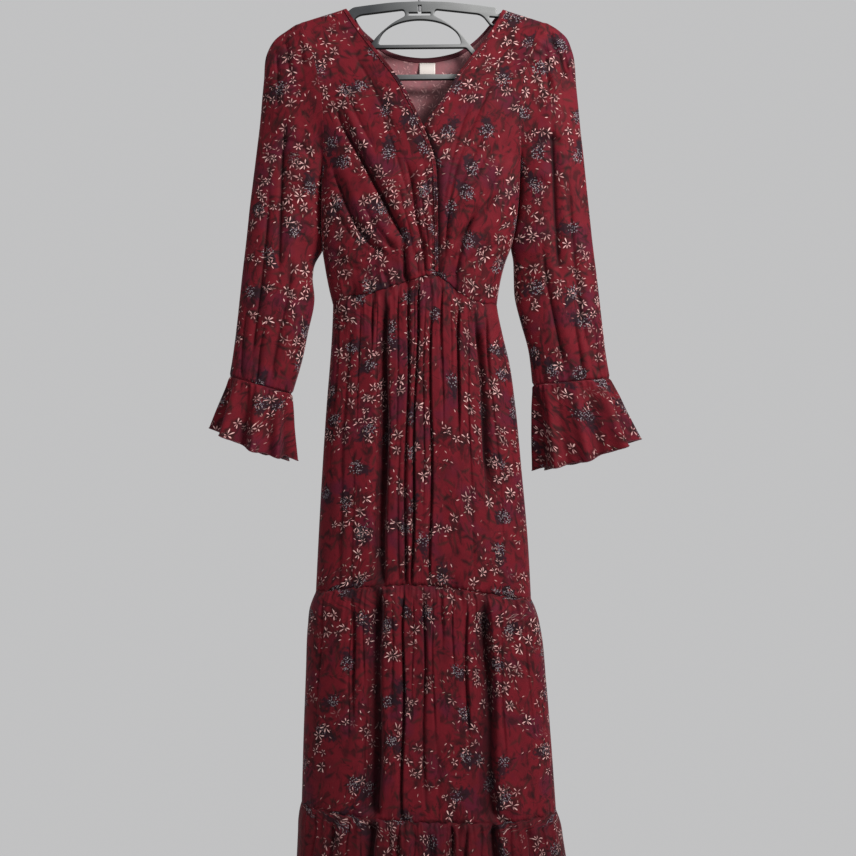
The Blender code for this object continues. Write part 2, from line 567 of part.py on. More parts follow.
def back_grid():
    """The back bodice: rows from the shoulders and the neckline down, columns from right to left."""
    right = seam_side("right")
    left = seam_side("left")
    width = left[0][0] - right[0][0]
    neck_shares = [(x - right[0][0]) / width for x, _ in BACK_NECK]
    shares = list(SHOULDER_SHARES) + neck_shares + [1.0 - share for share in reversed(SHOULDER_SHARES)]
    waist_width = left[-1][0] - right[-1][0]
    grid = []
    for number, (start, end) in enumerate(zip(right, left)):
        down = number / (len(right) - 1)
        fall = right[0][2] - start[2]
        hold = max(0.0, 1.0 - max(0.0, fall - BACK_BINDING) / DRAPE_DROP) ** 1.5
        row = []
        for share in shares:
            top_x = right[0][0] + width * share
            top_z = read(BACK_NECK, top_x)[0] if neck_shares[0] <= share <= neck_shares[-1] \
                else shoulder_height(top_x)
            straight_top = right[0][2] + (left[0][2] - right[0][2]) * share
            x = start[0] + (end[0] - start[0]) * share
            z = start[2] + (end[2] - start[2]) * share + (top_z - straight_top) * hold
            waist = read(WAIST_SEAM, right[-1][0] + waist_width * share)[1]
            z += (waist - WAIST_SIDE_Z) * down**5
            calm = smooth_step(min(share, 1.0 - share) / 0.12) * smooth_step((1.0 - down) / 0.06)
            depth = body_depth(x, z, False) + calm * drape_relief(x, z, BACK_FOLDS)
            row.append(np.array((x, depth, z)))
        row[0] = start * (1.0, -1.0, 1.0)
        row[-1] = end * (1.0, -1.0, 1.0)
        grid.append(row)
    for side, where, column in (("right", "first", 0), ("left", "last", -1)):
        grid = with_strip(grid, where, seam_directions(side, 1.0, len(right)))
        grid[len(ARMHOLE_ANGLES) - 1][column] += UNDERARM_STEP * BACKWARD
    at_neck = [False] + [neck_shares[0] < share < neck_shares[-1] for share in shares] + [False]
    toward = [(below - point) / SEAM_STRIP / 2 if neck else BACKWARD
              for neck, point, below in zip(at_neck, grid[0], grid[1])]
    grid = with_strip(grid, "top", toward)
    return with_strip(grid, "bottom", [UP] * len(grid[0]))


def tier_grid(tier, top_seam, bottom_seam, shares, folds, gathers, front):
    """One panel of a skirt tier: rows down its drop, columns from the right seam to the left one."""
    facing = -1.0 if front else 1.0
    column = 0 if front else 1
    halfway = read(tier, 0.5)
    places = even_places(SKIRT_FRONT_STEPS if front else SKIRT_BACK_STEPS,
                         (halfway[1] - halfway[0]) / 2, halfway[2 + column])
    grid = []
    for share in shares:
        section = read(tier, share)
        half = (section[1] - section[0]) / 2
        base = np.array([((section[0] + section[1]) / 2 + half * c,
                          facing * section[2 + column] * section_share(c)) for c in places])
        slope = np.gradient(base, axis=0)
        normals = np.stack((-facing * slope[:, 1], facing * slope[:, 0]), axis=1)
        normals /= np.linalg.norm(normals, axis=1)[:, None]
        row = []
        for c, point, normal in zip(places, base, normals):
            ends = [(line[1] + line[2]) / 2 + (line[2] - line[1]) / 2 * c for line in (tier[0], tier[-1])]
            top_z = read(top_seam, ends[0])[column]
            fall = top_z - read(bottom_seam, ends[1])[column]
            calm = smooth_step((1.0 - abs(c)) * half / 0.014)
            if bottom_seam is not HEM:
                calm *= smooth_step(fall * (1.0 - share) / 0.012)
            relief = tier_relief(point[0], ends[0], share, fall * share, folds, gathers)
            x, y = point + normal * calm * relief
            row.append(np.array((x, y, top_z - fall * share)))
        grid.append(row)
    for where in ("first", "last"):
        grid = with_strip(grid, where, [facing * BACKWARD] * len(grid))
    gap = WAIST_GAP if top_seam is WAIST_SEAM else SEAM_GAP / 2
    grid = with_strip(grid, "top", [-UP] * len(grid[0]), gap)
    if bottom_seam is HEM:
        return grid
    return with_strip(grid, "bottom", [UP] * len(grid[0]))


def ring_point(ring, angle, lift=0.0, drop=0.0):
    """A point of a flattened ring: 0 at its outer end, pi at its inner one, the front half between."""
    outer_x, outer_z, inner_x, inner_z, depth, middle_y, bow = ring
    centre = np.array(((outer_x + inner_x) / 2, middle_y, (outer_z + inner_z) / 2))
    arm = np.array(((outer_x - inner_x) / 2, 0.0, (outer_z - inner_z) / 2))
    half = np.linalg.norm(arm)
    sine, cosine = math.sin(angle), math.cos(angle)
    out = depth * cosine * arm / half - half * sine * BACKWARD
    out /= np.linalg.norm(out)
    point = centre + cosine * arm - depth * sine * BACKWARD
    return point + bow * sine**2 * ACROSS - drop * sine**2 * UP + lift * out


def armhole_on_panels(side, angle):
    """A point of an armhole seam on the straight steps of the bodice panels' edges."""
    turned = min(angle, 2 * math.pi - angle)
    steps = np.array([armhole_point(side, step) for step in ARMHOLE_ANGLES])
    point = np.array([np.interp(turned, ARMHOLE_ANGLES, steps[:, axis]) for axis in range(3)])
    return point * (1.0, 1.0 if angle <= math.pi else -1.0, 1.0)


def cuff_axis(side):
    """Upward direction of a sleeve at its cuff seam."""
    outer_x, outer_z, inner_x, inner_z = SLEEVES[side][-1][:4]
    axis = np.array((inner_z - outer_z, 0.0, outer_x - inner_x))
    return axis / np.linalg.norm(axis) * (1.0 if axis[2] > 0 else -1.0)


def sleeve_grid(side):
    """A sleeve, gathered over its head into the armhole, down to its cuff seam."""
    tip = ARMHOLES[side][0]
    outward = -ACROSS if side == "right" else ACROSS
    front = list(zip(SLEEVE_ANGLES, HEAD_GATHERS))
    columns = front + [(2 * math.pi - angle, gather) for angle, gather in reversed(front[1:-1])]
    grid = [[armhole_on_panels(side, angle) for angle, _ in columns]]
    for ring in SLEEVES[side]:
        run = math.hypot(ring[0] - tip[0], ring[1] - tip[1])
        height = HEAD_GATHER_HEIGHT * math.exp(-run / HEAD_GATHER_REACH)
        grid.append([ring_point(ring, angle, height * gather) for angle, gather in columns])
    grid = with_strip(grid, "top", [outward] * len(columns))
    return with_strip(grid, "bottom", [cuff_axis(side)] * len(columns))


def flounce_grid(side):
    """The flared cuff flounce, in waves that grow from the cuff seam to its hem."""
    count = FLOUNCE_WAVES * STEPS_PER_WAVE
    angles = [2 * math.pi * step / count for step in range(count)]
    grid = [[ring_point(SLEEVES[side][-1], angle) for angle in angles]]
    for outer_x, outer_z, inner_x, inner_z, depth, drop, height in FLOUNCES[side]:
        ring = (outer_x, outer_z, inner_x, inner_z, depth, 0.0, 0.0)
        grid.append([ring_point(ring, angle, height * math.cos(FLOUNCE_WAVES * angle), drop)
                     for angle in angles])
    return with_strip(grid, "top", [-cuff_axis(side)] * count)


def lifted(grid, distance):
    """The same points, moved out of a grid along its normals."""
    points = np.array(grid)
    down = np.gradient(points, axis=0)
    across = np.gradient(points, axis=1)
    normals = np.cross(down, across)
    normals /= np.linalg.norm(normals, axis=2)[:, :, None]
    return [list(row) for row in points + distance * normals]


# ---- meshes ------------------------------------------------------------------------------------------
def material(name, colour, roughness, metallic=0.0):
    made = bpy.data.materials.new(name)
    made.use_nodes = True
    shader = made.node_tree.nodes["Principled BSDF"]
    shader.inputs["Base Color"].default_value = colour
    shader.inputs["Roughness"].default_value = roughness
    shader.inputs["Metallic"].default_value = metallic
    made.diffuse_color = colour
    return made


def new_collection(name):
    made = bpy.data.collections.new(name)
    bpy.context.scene.collection.children.link(made)
    return made


def cloth_piece(name, grid, finish, turned=False, closed=False, wall=CLOTH):
    """A piece of cloth: its grid as one surface that faces out, with the wall inside it."""
    columns = len(grid[0])
    faces = []
    for row in range(len(grid) - 1):
        for column in range(columns if closed else columns - 1):
            beside = (column + 1) % columns
            face = [row * columns + column, (row + 1) * columns + column,
                    (row + 1) * columns + beside, row * columns + beside]
            faces.append(face[::-1] if turned else face)
    mesh = bpy.data.meshes.new(name)
    mesh.from_pydata([tuple(point) for row in grid for point in row], [], faces)
    mesh.shade_smooth()
    mesh.materials.append(finish)
    piece = bpy.data.objects.new(name, mesh)
    dress.objects.link(piece)
    solid = piece.modifiers.new("wall", "SOLIDIFY")
    solid.thickness = wall
    solid.offset = -1.0
    solid.use_quality_normals = True
    return piece


def rounded(corners):
    """A closed outline through (x, z, radius) corners, each turned into a short arc."""
    outline = []
    for index, (x, z, radius) in enumerate(corners):
        here = np.array((x, z))
        before = np.array(corners[index - 1][:2]) - here
        after = np.array(corners[(index + 1) % len(corners)][:2]) - here
        reach = min(radius, 0.45 * np.linalg.norm(before), 0.45 * np.linalg.norm(after))
        if radius == 0.0:
            outline.append((x, z))
            continue
        start = here + before / np.linalg.norm(before) * reach
        end = here + after / np.linalg.norm(after) * reach
        for step in range(CORNER_STEPS + 1):
            t = step / CORNER_STEPS
            point = (1 - t) ** 2 * start + 2 * t * (1 - t) * here + t**2 * end
            outline.append((point[0], point[1]))
    return outline


def mirrored(half):
    """Corners of the whole outline from those of its +X half, listed from top to bottom."""
    return list(half) + [(-x, z, radius) for x, z, radius in reversed(half) if x > 0.0]


def flat_frame(name, outlines, finish):
    """A flat frame cut from one plate: the first outline is its edge, the others are its openings."""
    curve = bpy.data.curves.new(name, "CURVE")
    curve.dimensions = "2D"
    curve.fill_mode = "BOTH"
    curve.extrude = HANGER_THICKNESS / 2
    for outline in outlines:
        spline = curve.splines.new("POLY")
        spline.points.add(len(outline) - 1)
        for point, (x, z) in zip(spline.points, outline):
            point.co = (x, z, 0.0, 1.0)
        spline.use_cyclic_u = True
    drawn = bpy.data.objects.new(name + "_outline", curve)
    drawn.rotation_euler = (math.pi / 2, 0.0, 0.0)
    dress.objects.link(drawn)
    bpy.context.view_layer.update()
    mesh = bpy.data.meshes.new_from_object(drawn.evaluated_get(bpy.context.evaluated_depsgraph_get()))
    mesh.name = name
    welded = bmesh.new()
    welded.from_mesh(mesh)
    bmesh.ops.remove_doubles(welded, verts=welded.verts, dist=0.00002)
    bmesh.ops.recalc_face_normals(welded, faces=welded.faces)
    welded.to_mesh(mesh)
    welded.free()
    mesh.materials.clear()
    mesh.materials.append(finish)
    frame = bpy.data.objects.new(name, mesh)
    frame.matrix_world = drawn.matrix_world
    dress.objects.link(frame)
    bpy.data.objects.remove(drawn)
    return frame


def bored(piece, radius, top, bottom):
    """Bores a piece from above, on the Z axis, with a cutter between two heights."""
    bpy.ops.mesh.primitive_cylinder_add(vertices=16, radius=radius, depth=top - bottom,
                                        location=(0.0, 0.0, (top + bottom) / 2))
    cutter = bpy.context.active_object
    cutter.name = piece.name + "_bore"
    for holder in list(cutter.users_collection):
        holder.objects.unlink(cutter)
    cutters.objects.link(cutter)
    cutter.hide_render = True
    cutter.display_type = "WIRE"
    cut = piece.modifiers.new("bore", "BOOLEAN")
    cut.operation = "DIFFERENCE"
    cut.object = cutter
    return cutter


def wire(name, points, diameter, finish):
    """A round wire along a line of points."""
    curve = bpy.data.curves.new(name, "CURVE")
    curve.dimensions = "3D"
    curve.bevel_depth = diameter / 2
    curve.bevel_resolution = 2
    curve.use_fill_caps = True
    spline = curve.splines.new("POLY")
    spline.points.add(len(points) - 1)
    for point, (x, z) in zip(spline.points, points):
        point.co = (x, 0.0, z, 1.0)
    curve.materials.append(finish)
    made = bpy.data.objects.new(name, curve)
    dress.objects.link(made)
    return made


# ---- the dress ------------------------------------------------------------------------------------------
def build_bodice(cloth, dark_cloth, label_cloth):
    over = front_grid("right", OVER_EDGE, OVER_STEPS, OVER_FOLDS, lambda x, z: 0.0)
    under = front_grid("left", UNDER_EDGE, UNDER_STEPS, UNDER_FOLDS, wrap_tuck)
    back = back_grid()
    cloth_piece("front_bodice_right", over, cloth)
    cloth_piece("front_bodice_left", under, cloth, turned=True)
    cloth_piece("back_bodice", back, cloth, turned=True)

    lift = TRIM_LIFT + TRIM
    over_band = [row[-2:] for row in lifted(over, lift)][1:-2]
    under_band = [row[-2:] for row in lifted(under, -lift) if row[-1][2] > UNDER_BAND_END_Z][1:]
    cloth_piece("neck_band_right", over_band, dark_cloth, wall=TRIM)
    cloth_piece("neck_band_left", under_band, dark_cloth, turned=True, wall=TRIM)

    first = 3 + len(SHOULDER_SHARES)
    last = first + len(BACK_NECK) - 4
    binding_rows = [row[first:last] for row in lifted(back, CLOTH + lift)][1:5]
    cloth_piece("back_neck_binding", binding_rows, dark_cloth, wall=TRIM)

    width, height = LABEL_SIZE
    middle = LABEL_LEFT_X + width / 2
    top = read(BACK_NECK, middle)[0] - BACK_BINDING - SEAM_GAP
    in_front = CLOTH + TRIM_LIFT + TRIM
    label = []
    for z in (top, top - height / 2, top - height):
        depths = [body_depth(x, z, False) for x in (LABEL_LEFT_X, middle, LABEL_LEFT_X + width)]
        label.append([np.array((LABEL_LEFT_X + width * step / 2, min(depths) - in_front, z))
                      for step in range(3)])
    cloth_piece("size_label", label, label_cloth, wall=TRIM)


def build_sleeves(cloth):
    for side in ("right", "left"):
        turned = side == "left"
        cloth_piece("sleeve_" + side, sleeve_grid(side), cloth, turned, closed=True)
        cloth_piece("cuff_flounce_" + side, flounce_grid(side), cloth, turned, closed=True)


def build_skirt(cloth):
    for name, tier, top, bottom, shares, folds, count, height, reach, turn in SKIRT_PANELS:
        front = name.endswith("front")
        gathers = gathers_along(count, tier[0][1], tier[0][2], height, reach, turn)
        grid = tier_grid(tier, top, bottom, shares, folds, gathers, front)
        cloth_piece(name, grid, cloth, turned=not front)


def build_hanger(plastic, steel):
    bow = [(ARCH_HALF_WIDTH * math.cos(angle), ARCH_BASE_Z + ARCH_HEIGHT * math.sin(angle) ** 0.9)
           for angle in np.linspace(0.0, math.pi, ARCH_STEPS + 1)[1:-1]]
    arch = bow + [(-ARCH_HALF_WIDTH, ARCH_BASE_Z + 0.0015), (-ARCH_HALF_WIDTH + 0.002, ARCH_BASE_Z),
                  (ARCH_HALF_WIDTH - 0.002, ARCH_BASE_Z), (ARCH_HALF_WIDTH, ARCH_BASE_Z + 0.0015)]
    strap_hole = rounded(STRAP_HOLE)
    outlines = [rounded(mirrored(FRAME_EDGE)), arch, rounded(mirrored(LOWER_OPENING)),
                rounded(mirrored(STEM_WINDOW)), strap_hole, [(-x, z) for x, z in strap_hole]]
    frame = flat_frame("hanger_frame", outlines, plastic)
    cutter = bored(frame, HOOK_WIRE / 2 + STEM_CLEARANCE, 0.0, STEM_WINDOW[1][1] - 0.001)

    centre_z = HOOK_WIRE / 2 - HOOK_RADIUS
    start, end = HOOK_END_ANGLES
    turns = [math.radians(start + (end - start) * step / 18) for step in range(19)]
    bend = [(HOOK_RADIUS * math.cos(turn), centre_z + HOOK_RADIUS * math.sin(turn)) for turn in turns]
    hook = wire("hanger_hook", list(HOOK_STEM) + bend, HOOK_WIRE, steel)

    pivot = bpy.data.objects.new("hanger", None)
    dress.objects.link(pivot)
    for piece in (frame, cutter, hook):
        piece.parent = pivot
    pivot.rotation_euler = (0.0, HANGER_TILT, 0.0)


for leftover in list(bpy.data.objects):
    bpy.data.objects.remove(leftover)
dress = new_collection("maxi_dress")
cutters = new_collection("cutters")
burgundy = material("burgundy_chiffon", BURGUNDY, 0.75)
dark_burgundy = material("dark_burgundy_trim", DARK_BURGUNDY, 0.70)
label_white = material("white_satin_label", LABEL_WHITE, 0.55)
grey_plastic = material("dark_grey_plastic", HANGER_GREY, 0.35)
steel_wire = material("steel_wire", STEEL, 0.28, 1.0)
build_bodice(burgundy, dark_burgundy, label_white)
build_sleeves(burgundy)
build_skirt(burgundy)
build_hanger(grey_plastic, steel_wire)
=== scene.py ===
import math

import bmesh
import bpy
import mathutils
import numpy as np
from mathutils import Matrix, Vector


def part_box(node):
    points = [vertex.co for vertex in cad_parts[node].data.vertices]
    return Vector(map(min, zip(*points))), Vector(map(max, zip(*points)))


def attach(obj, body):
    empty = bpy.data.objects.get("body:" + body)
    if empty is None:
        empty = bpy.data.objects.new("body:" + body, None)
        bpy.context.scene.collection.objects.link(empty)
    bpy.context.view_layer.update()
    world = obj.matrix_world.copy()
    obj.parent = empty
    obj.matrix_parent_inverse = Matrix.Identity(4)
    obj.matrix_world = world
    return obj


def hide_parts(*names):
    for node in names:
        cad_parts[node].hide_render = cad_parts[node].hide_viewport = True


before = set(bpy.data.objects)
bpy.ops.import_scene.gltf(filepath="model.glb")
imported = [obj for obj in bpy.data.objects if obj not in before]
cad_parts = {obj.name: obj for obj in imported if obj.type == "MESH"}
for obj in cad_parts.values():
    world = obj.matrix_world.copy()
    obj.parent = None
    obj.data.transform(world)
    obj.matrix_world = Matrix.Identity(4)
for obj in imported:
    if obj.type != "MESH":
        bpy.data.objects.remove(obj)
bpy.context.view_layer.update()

# ==== Room ====================================================================================
# A pale studio: an even light grey surround, a plain floor well below the hem, a large soft
# light high at the front on the dress's left, and weaker ones that open up its shaded side.
scene = bpy.context.scene
scene.view_settings.view_transform = "Standard"
world = bpy.data.worlds.new("pale_surround")
scene.world = world
world.use_nodes = True
surround = world.node_tree.nodes["Background"].inputs
surround["Color"].default_value = (0.565, 0.565, 0.570, 1.0)
surround["Strength"].default_value = 0.95


def placed(name, data, location=(0.0, 0.0, 0.0), rotation=(0.0, 0.0, 0.0)):
    """A new object of the scene."""
    made = bpy.data.objects.new(name, data)
    made.location, made.rotation_euler = location, rotation
    scene.collection.objects.link(made)
    return made


camera_data = bpy.data.cameras.new("camera")
camera_data.sensor_fit = "HORIZONTAL"
camera_data.angle = math.radians(34.5)
scene.camera = placed("camera", camera_data, (0.013, -2.0, -0.697), (math.pi / 2, 0.0, 0.0))


def soft_light(name, place, aim_z, size, watts, tint=(1.0, 1.0, 1.0)):
    """A square soft light that points at a height on the dress's middle."""
    data = bpy.data.lights.new(name, "AREA")
    data.shape, data.size, data.energy, data.color = "SQUARE", size, watts, tint
    x, y, z = np.array((0.0, 0.0, aim_z)) - place
    placed(name, data, place, (math.acos(-z / math.hypot(x, y, z)), 0.0, math.atan2(y, x) - math.pi / 2))


soft_light("key_light", (1.5, -1.35, 0.80), -0.5, 0.6, 106.0, (1.0, 0.985, 0.97))
soft_light("fill_light", (-2.2, -2.6, -0.3), -0.8, 2.0, 6.0)
soft_light("back_light", (0.8, 2.8, 0.7), -0.7, 2.4, 34.0)


def feed_inputs(node, feeds):
    """Sets a node's inputs, by name or in order, or joins them to the outputs of other nodes."""
    for key, feed in feeds.items() if isinstance(feeds, dict) else enumerate(feeds):
        socket = node.inputs[key]
        if hasattr(feed, "socket"):
            feed.tree.links.new(feed.socket, socket)
        else:
            socket.default_value = (*feed, 1.0) if socket.type == "RGBA" else feed


def material(name, feeds):
    """A new material; feeds gives the inputs of its shader from its node tree."""
    made = bpy.data.materials.new(name)
    made.use_nodes = True
    feed_inputs(made.node_tree.nodes["Principled BSDF"], feeds(made.node_tree))
    return made


floor_z, floor_half, floor_back = -1.95, 2, 1.9
floor_corners = ((-floor_half, -floor_half), (floor_half, -floor_half), (floor_half, floor_back),
                 (-floor_half, floor_back))
floor_mesh = bpy.data.meshes.new("floor")
floor_mesh.from_pydata([(x, y, floor_z) for x, y in floor_corners], [], [(0, 1, 2, 3)])
floor_feeds = {"Base Color": (0.62, 0.62, 0.61), "Roughness": 0.9}
floor_mesh.materials.append(material("pale_floor", lambda tree: floor_feeds))
placed("floor", floor_mesh)


# ==== Printed chiffon ===========================================================================
# The cloth of the whole dress: a thin matte crepe chiffon in burgundy, printed all over with small
# starry flowers, round heads of tiny florets, dark sprigs and leaves, on a ground that runs from
# crimson to maroon. Its wrong side shows the same print, paler. Sizes are in metres on the cloth.
class Value:
    """What a material works out at each place of a surface. Reckoning with it adds nodes to its tree."""

    def __init__(self, tree, socket):
        self.tree, self.socket = tree, socket

    def __add__(self, other):
        return maths("ADD", self, other)

    def __sub__(self, other):
        return maths("SUBTRACT", self, other)

    def __rsub__(self, other):
        return maths("SUBTRACT", other, self)

    def __mul__(self, other):
        return maths("MULTIPLY", self, other)

    def __truediv__(self, other):
        return maths("DIVIDE", self, other)


def add_node(tree, kind, feeds=(), **settings):
    """Adds a node with its settings, feeds its inputs, and gives its outputs by name."""
    made = tree.nodes.new(kind)
    for name, setting in settings.items():
        setattr(made, name, setting)
    feed_inputs(made, feeds)
    return {socket.identifier: Value(tree, socket) for socket in made.outputs}


def tree_of(*feeds):
    return next(feed.tree for feed in feeds if isinstance(feed, Value))


def maths(operation, *feeds, clamp=False):
    return add_node(tree_of(*feeds), "ShaderNodeMath", feeds, operation=operation, use_clamp=clamp)["Value"]


def laid_over(share, below, above):
    """One colour over another by a share from 0 to 1."""
    feeds = {0: share, 6: below, 7: above}
    return add_node(tree_of(share, below, above), "ShaderNodeMix", feeds, data_type="RGBA")["Result_Color"]


def over(value, level, softness=0.02):
    """1 where a value is over a level, with a soft edge."""
    return maths("DIVIDE", value - level, softness, clamp=True)


def under(value, level, softness=0.02):
    return maths("DIVIDE", level - value, softness, clamp=True)


def moved(place, x, y):
    return add_node(place.tree, "ShaderNodeVectorMath", (place, (x, y, 0.0)), operation="ADD")["Vector"]


def noise(place, scale, detail=2.0, distortion=0.0, dimensions="2D"):
    feeds = {"Vector": place, "Scale": scale, "Detail": detail, "Distortion": distortion}
    return add_node(place.tree, "ShaderNodeTexNoise", feeds, noise_dimensions=dimensions)["Fac"]


def clouded(place, size, seed, low, high):
    """A soft cloudy mask."""
    return over(noise(moved(place, seed, seed * 0.7), 1.0 / size, 3.0), low, high - low)


def off_winding_line(place, size, seed):
    """How far a place is from a set of winding lines that the sprays and flowers follow: 0 on them."""
    return maths("ABSOLUTE", noise(moved(place, seed, seed * 0.7), 1.0 / size, 1.0) - 0.5)


def cells_of(place, size):
    """The nearest of many strewn points: how far it is, three random numbers of its own, its place."""
    cells = add_node(place.tree, "ShaderNodeTexVoronoi", {"Vector": place, "Scale": 1.0 / size},
                     voronoi_dimensions="2D")
    chance = add_node(place.tree, "ShaderNodeSeparateColor", (cells["Color"],))
    return cells["Distance"], list(chance.values()), cells["Position"]


def scattered(place, size):
    """Motifs strewn over the cloth: x and y from the nearest one's centre, turned at random, three
    random numbers of its own, and its centre."""
    _, chance, centre = cells_of(place, size)
    away = add_node(place.tree, "ShaderNodeVectorMath", (place, centre), operation="SUBTRACT")["Vector"]
    feeds = {"Vector": away, "Angle": chance[0] * (2 * math.pi)}
    turned = add_node(place.tree, "ShaderNodeVectorRotate", feeds, rotation_type="Z_AXIS")["Vector"]
    split = add_node(place.tree, "ShaderNodeSeparateXYZ", (turned,))
    return split["X"], split["Y"], chance, centre


def petals(x, y, chance, count, reach, half_width, softness=0.0003):
    """A loose star of pointed petals round a centre, uneven in length, a few of them missing; how far
    the place is from the centre, and the nearest petal's own random number."""
    far, step = maths("SQRT", x * x + y * y), 2 * math.pi / count
    angle = maths("ARCTAN2", y, x) + math.pi
    seed = add_node(x.tree, "ShaderNodeCombineXYZ", (maths("FLOOR", angle / step), chance * 91.0))["Vector"]
    own = add_node(x.tree, "ShaderNodeTexWhiteNoise", {"Vector": seed}, noise_dimensions="2D")["Value"]
    turn = maths("MODULO", angle, step) - step / 2 + (own - 0.5) * 0.80
    along, beside = far * maths("COSINE", turn), far * maths("ABSOLUTE", maths("SINE", turn))
    share = maths("DIVIDE", along, (own * 0.62 + 0.48) * reach, clamp=True)
    width = maths("SINE", maths("POWER", share, 1.6) * math.pi) * half_width
    return under(beside, width, softness) * maths("GREATER_THAN", own, 0.10), far, own


def lance(x, y, half_length, half_width, softness=0.0003):
    """A leaf pointed at both ends, along x."""
    share = x / half_length
    return under(maths("ABSOLUTE", y), (1.0 - share * share) * half_width, softness)


def inky_strokes(place, turn, seed):
    """Soft strokes like brushed ink, all lying roughly one way."""
    feeds = {"Vector": place, "Location": (seed, seed * 0.6, 0.0), "Rotation": (0.0, 0.0, turn),
             "Scale": (1.0 / 0.0105, 1.0 / 0.0230, 1.0)}
    turned = add_node(place.tree, "ShaderNodeMapping", feeds)["Vector"]
    return over(noise(turned, 1.0, 2.5, 0.6), 0.530, 0.110)


def sprig(x, y):
    """A sprig along y: a thin bent stem with slanting leaflets on both sides, all soft at the edges."""
    beside = maths("ABSOLUTE", x - y * y * 14.0)
    off_rung = maths("ABSOLUTE", maths("FRACT", y / 0.0078 + beside / 0.0064) - 0.5)
    leaflets = under(off_rung, (1.0 - beside / 0.0072) * 0.34, 0.16)
    stem_and_leaves = maths("MAXIMUM", under(beside, 0.0009, 0.0009), leaflets)
    return stem_and_leaves * under(maths("ABSOLUTE", y), 0.0205, 0.0060)


def floral_print(place):
    """The whole print as one colour, from the ground up."""
    crimson, maroon, plum = (0.096, 0.0050, 0.0094), (0.066, 0.0046, 0.0080), (0.046, 0.0052, 0.0165)
    leaf_black, leaf_olive = (0.0105, 0.0034, 0.0038), (0.0210, 0.0085, 0.0066)
    smudge_plum = (0.0100, 0.0046, 0.0080)
    petal_pink, petal_cream, petal_green = (0.63, 0.300, 0.300), (0.60, 0.370, 0.350), (0.26, 0.190, 0.150)
    petal_dusk, petal_russet = (0.26, 0.125, 0.120), (0.170, 0.062, 0.056)
    floret_grey, floret_blue = (0.290, 0.256, 0.258), (0.088, 0.070, 0.102)

    colour = laid_over(clouded(place, 0.030, 3.1, 0.46, 0.80), crimson, maroon)
    colour = laid_over(clouded(place, 0.055, 8.3, 0.52, 0.70) * 0.60, colour, plum)

    # dim olive leaves, inky foliage in two directions, soft dark sprigs and stems that wind between them
    x, y, chance, _ = scattered(place, 0.0210)
    colour = laid_over(lance(x, y, 0.0130, 0.0036, 0.0030) * over(chance[1], 0.52) * 0.66, colour, leaf_olive)
    for turn, seed, patches in ((0.55, 3.7, 0.042), (-0.75, 9.2, 0.036)):
        patch = clouded(place, patches, seed + 1.9, 0.44, 0.56)
        colour = laid_over(inky_strokes(place, turn, seed) * patch * 0.62, colour, leaf_black)
    for size, seed, width in ((0.105, 1.7, 0.0110), (0.060, 6.2, 0.0150)):
        stems = under(off_winding_line(place, size, seed), width, 0.0160)
        colour = laid_over(stems * clouded(place, 0.022, 4.4 + seed, 0.44, 0.56) * 0.52, colour, leaf_black)
    for cell, reach, half_width, seed, kept in (
            (0.0460, 0.0270, 0.0044, 4.1, 0.40), (0.0380, 0.0200, 0.0034, 7.4, 0.55)):
        x, y, chance, _ = scattered(moved(place, seed, seed), cell)
        spray, _, own = petals(x, y, chance[2], 6, reach, half_width, 0.0040)
        colour = laid_over(spray * over(chance[1], kept) * over(own, 0.34) * 0.84, colour, leaf_black)
    x, y, chance, _ = scattered(place, 0.046)
    rough = clouded(place, 0.0045, 7.7, 0.30, 0.56)
    colour = laid_over(sprig(x, y) * over(chance[1], 0.55) * rough * 0.66, colour, leaf_black)

    # round heads of florets, each on a dark plum smudge that trails off to one side
    x, y, chance, _ = scattered(place, 0.0600)
    shown, beyond = over(chance[1], 0.20), y + 0.0085
    ragged = maths("SQRT", x * x + beyond * beyond * 0.30) + clouded(place, 0.0065, 1.1, 0.3, 0.7) * 0.0085
    colour = laid_over(under(ragged, 0.0150, 0.0050) * shown * 0.88, colour, smudge_plum)
    fan, far, _ = petals(x, y, chance[2], 7, 0.0200, 0.0024, 0.0014)
    colour = laid_over(fan * shown * 0.80, colour, leaf_black)
    off_floret, own, _ = cells_of(place, 0.0025)
    head = under(far, chance[2] * 0.0034 + 0.0092, 0.0026)
    dots = under(off_floret, 0.37, 0.14) * over(own[0], 0.34) * head * shown
    colour = laid_over(dots * 0.92, colour, laid_over(own[1], floret_blue, floret_grey))

    # loose petals and small pale leaves along the stems, then the starry flowers among them
    def along_stems(cell, seed, band, kept):
        x, y, chance, centre = scattered(moved(place, seed, seed), cell)
        near = under(off_winding_line(moved(centre, -seed, -seed), 0.105, 1.7), band)
        return x, y, chance, near * over(chance[1], kept)

    for cell, half_length, half_width, seed, band, kept, tints in (
            (0.0082, 0.0030, 0.00066, 0.0, 0.075, 0.68, (petal_green, petal_dusk)),
            (0.0104, 0.0026, 0.00078, 2.6, 0.160, 0.74, (petal_russet, petal_cream))):
        x, y, chance, here = along_stems(cell, seed, band, kept)
        bits = lance(x, y, half_length, half_width) * here * 0.90
        colour = laid_over(bits, colour, laid_over(chance[2], *tints))
    for cell, reach, half_width, count, seed, band, kept, tints in (
            (0.0205, 0.0100, 0.00098, 6, 1.3, 0.100, 0.54, (petal_pink, petal_cream)),
            (0.0165, 0.0082, 0.00080, 5, 5.9, 0.085, 0.62, (petal_cream, petal_pink))):
        x, y, chance, here = along_stems(cell, seed, band, kept)
        star, far, own = petals(x, y, chance[2], count, reach, half_width)
        colour = laid_over(under(far, reach * 1.08, 0.0060) * here * 0.72, colour, leaf_black)
        dusky = over(maths("FRACT", chance[1] * 37.0), 0.45, 0.4) * 0.62
        tint = laid_over(dusky, laid_over(own, *tints), petal_dusk)
        colour = laid_over(star * here * (own * 0.60 + 0.42), colour, tint)
    return colour


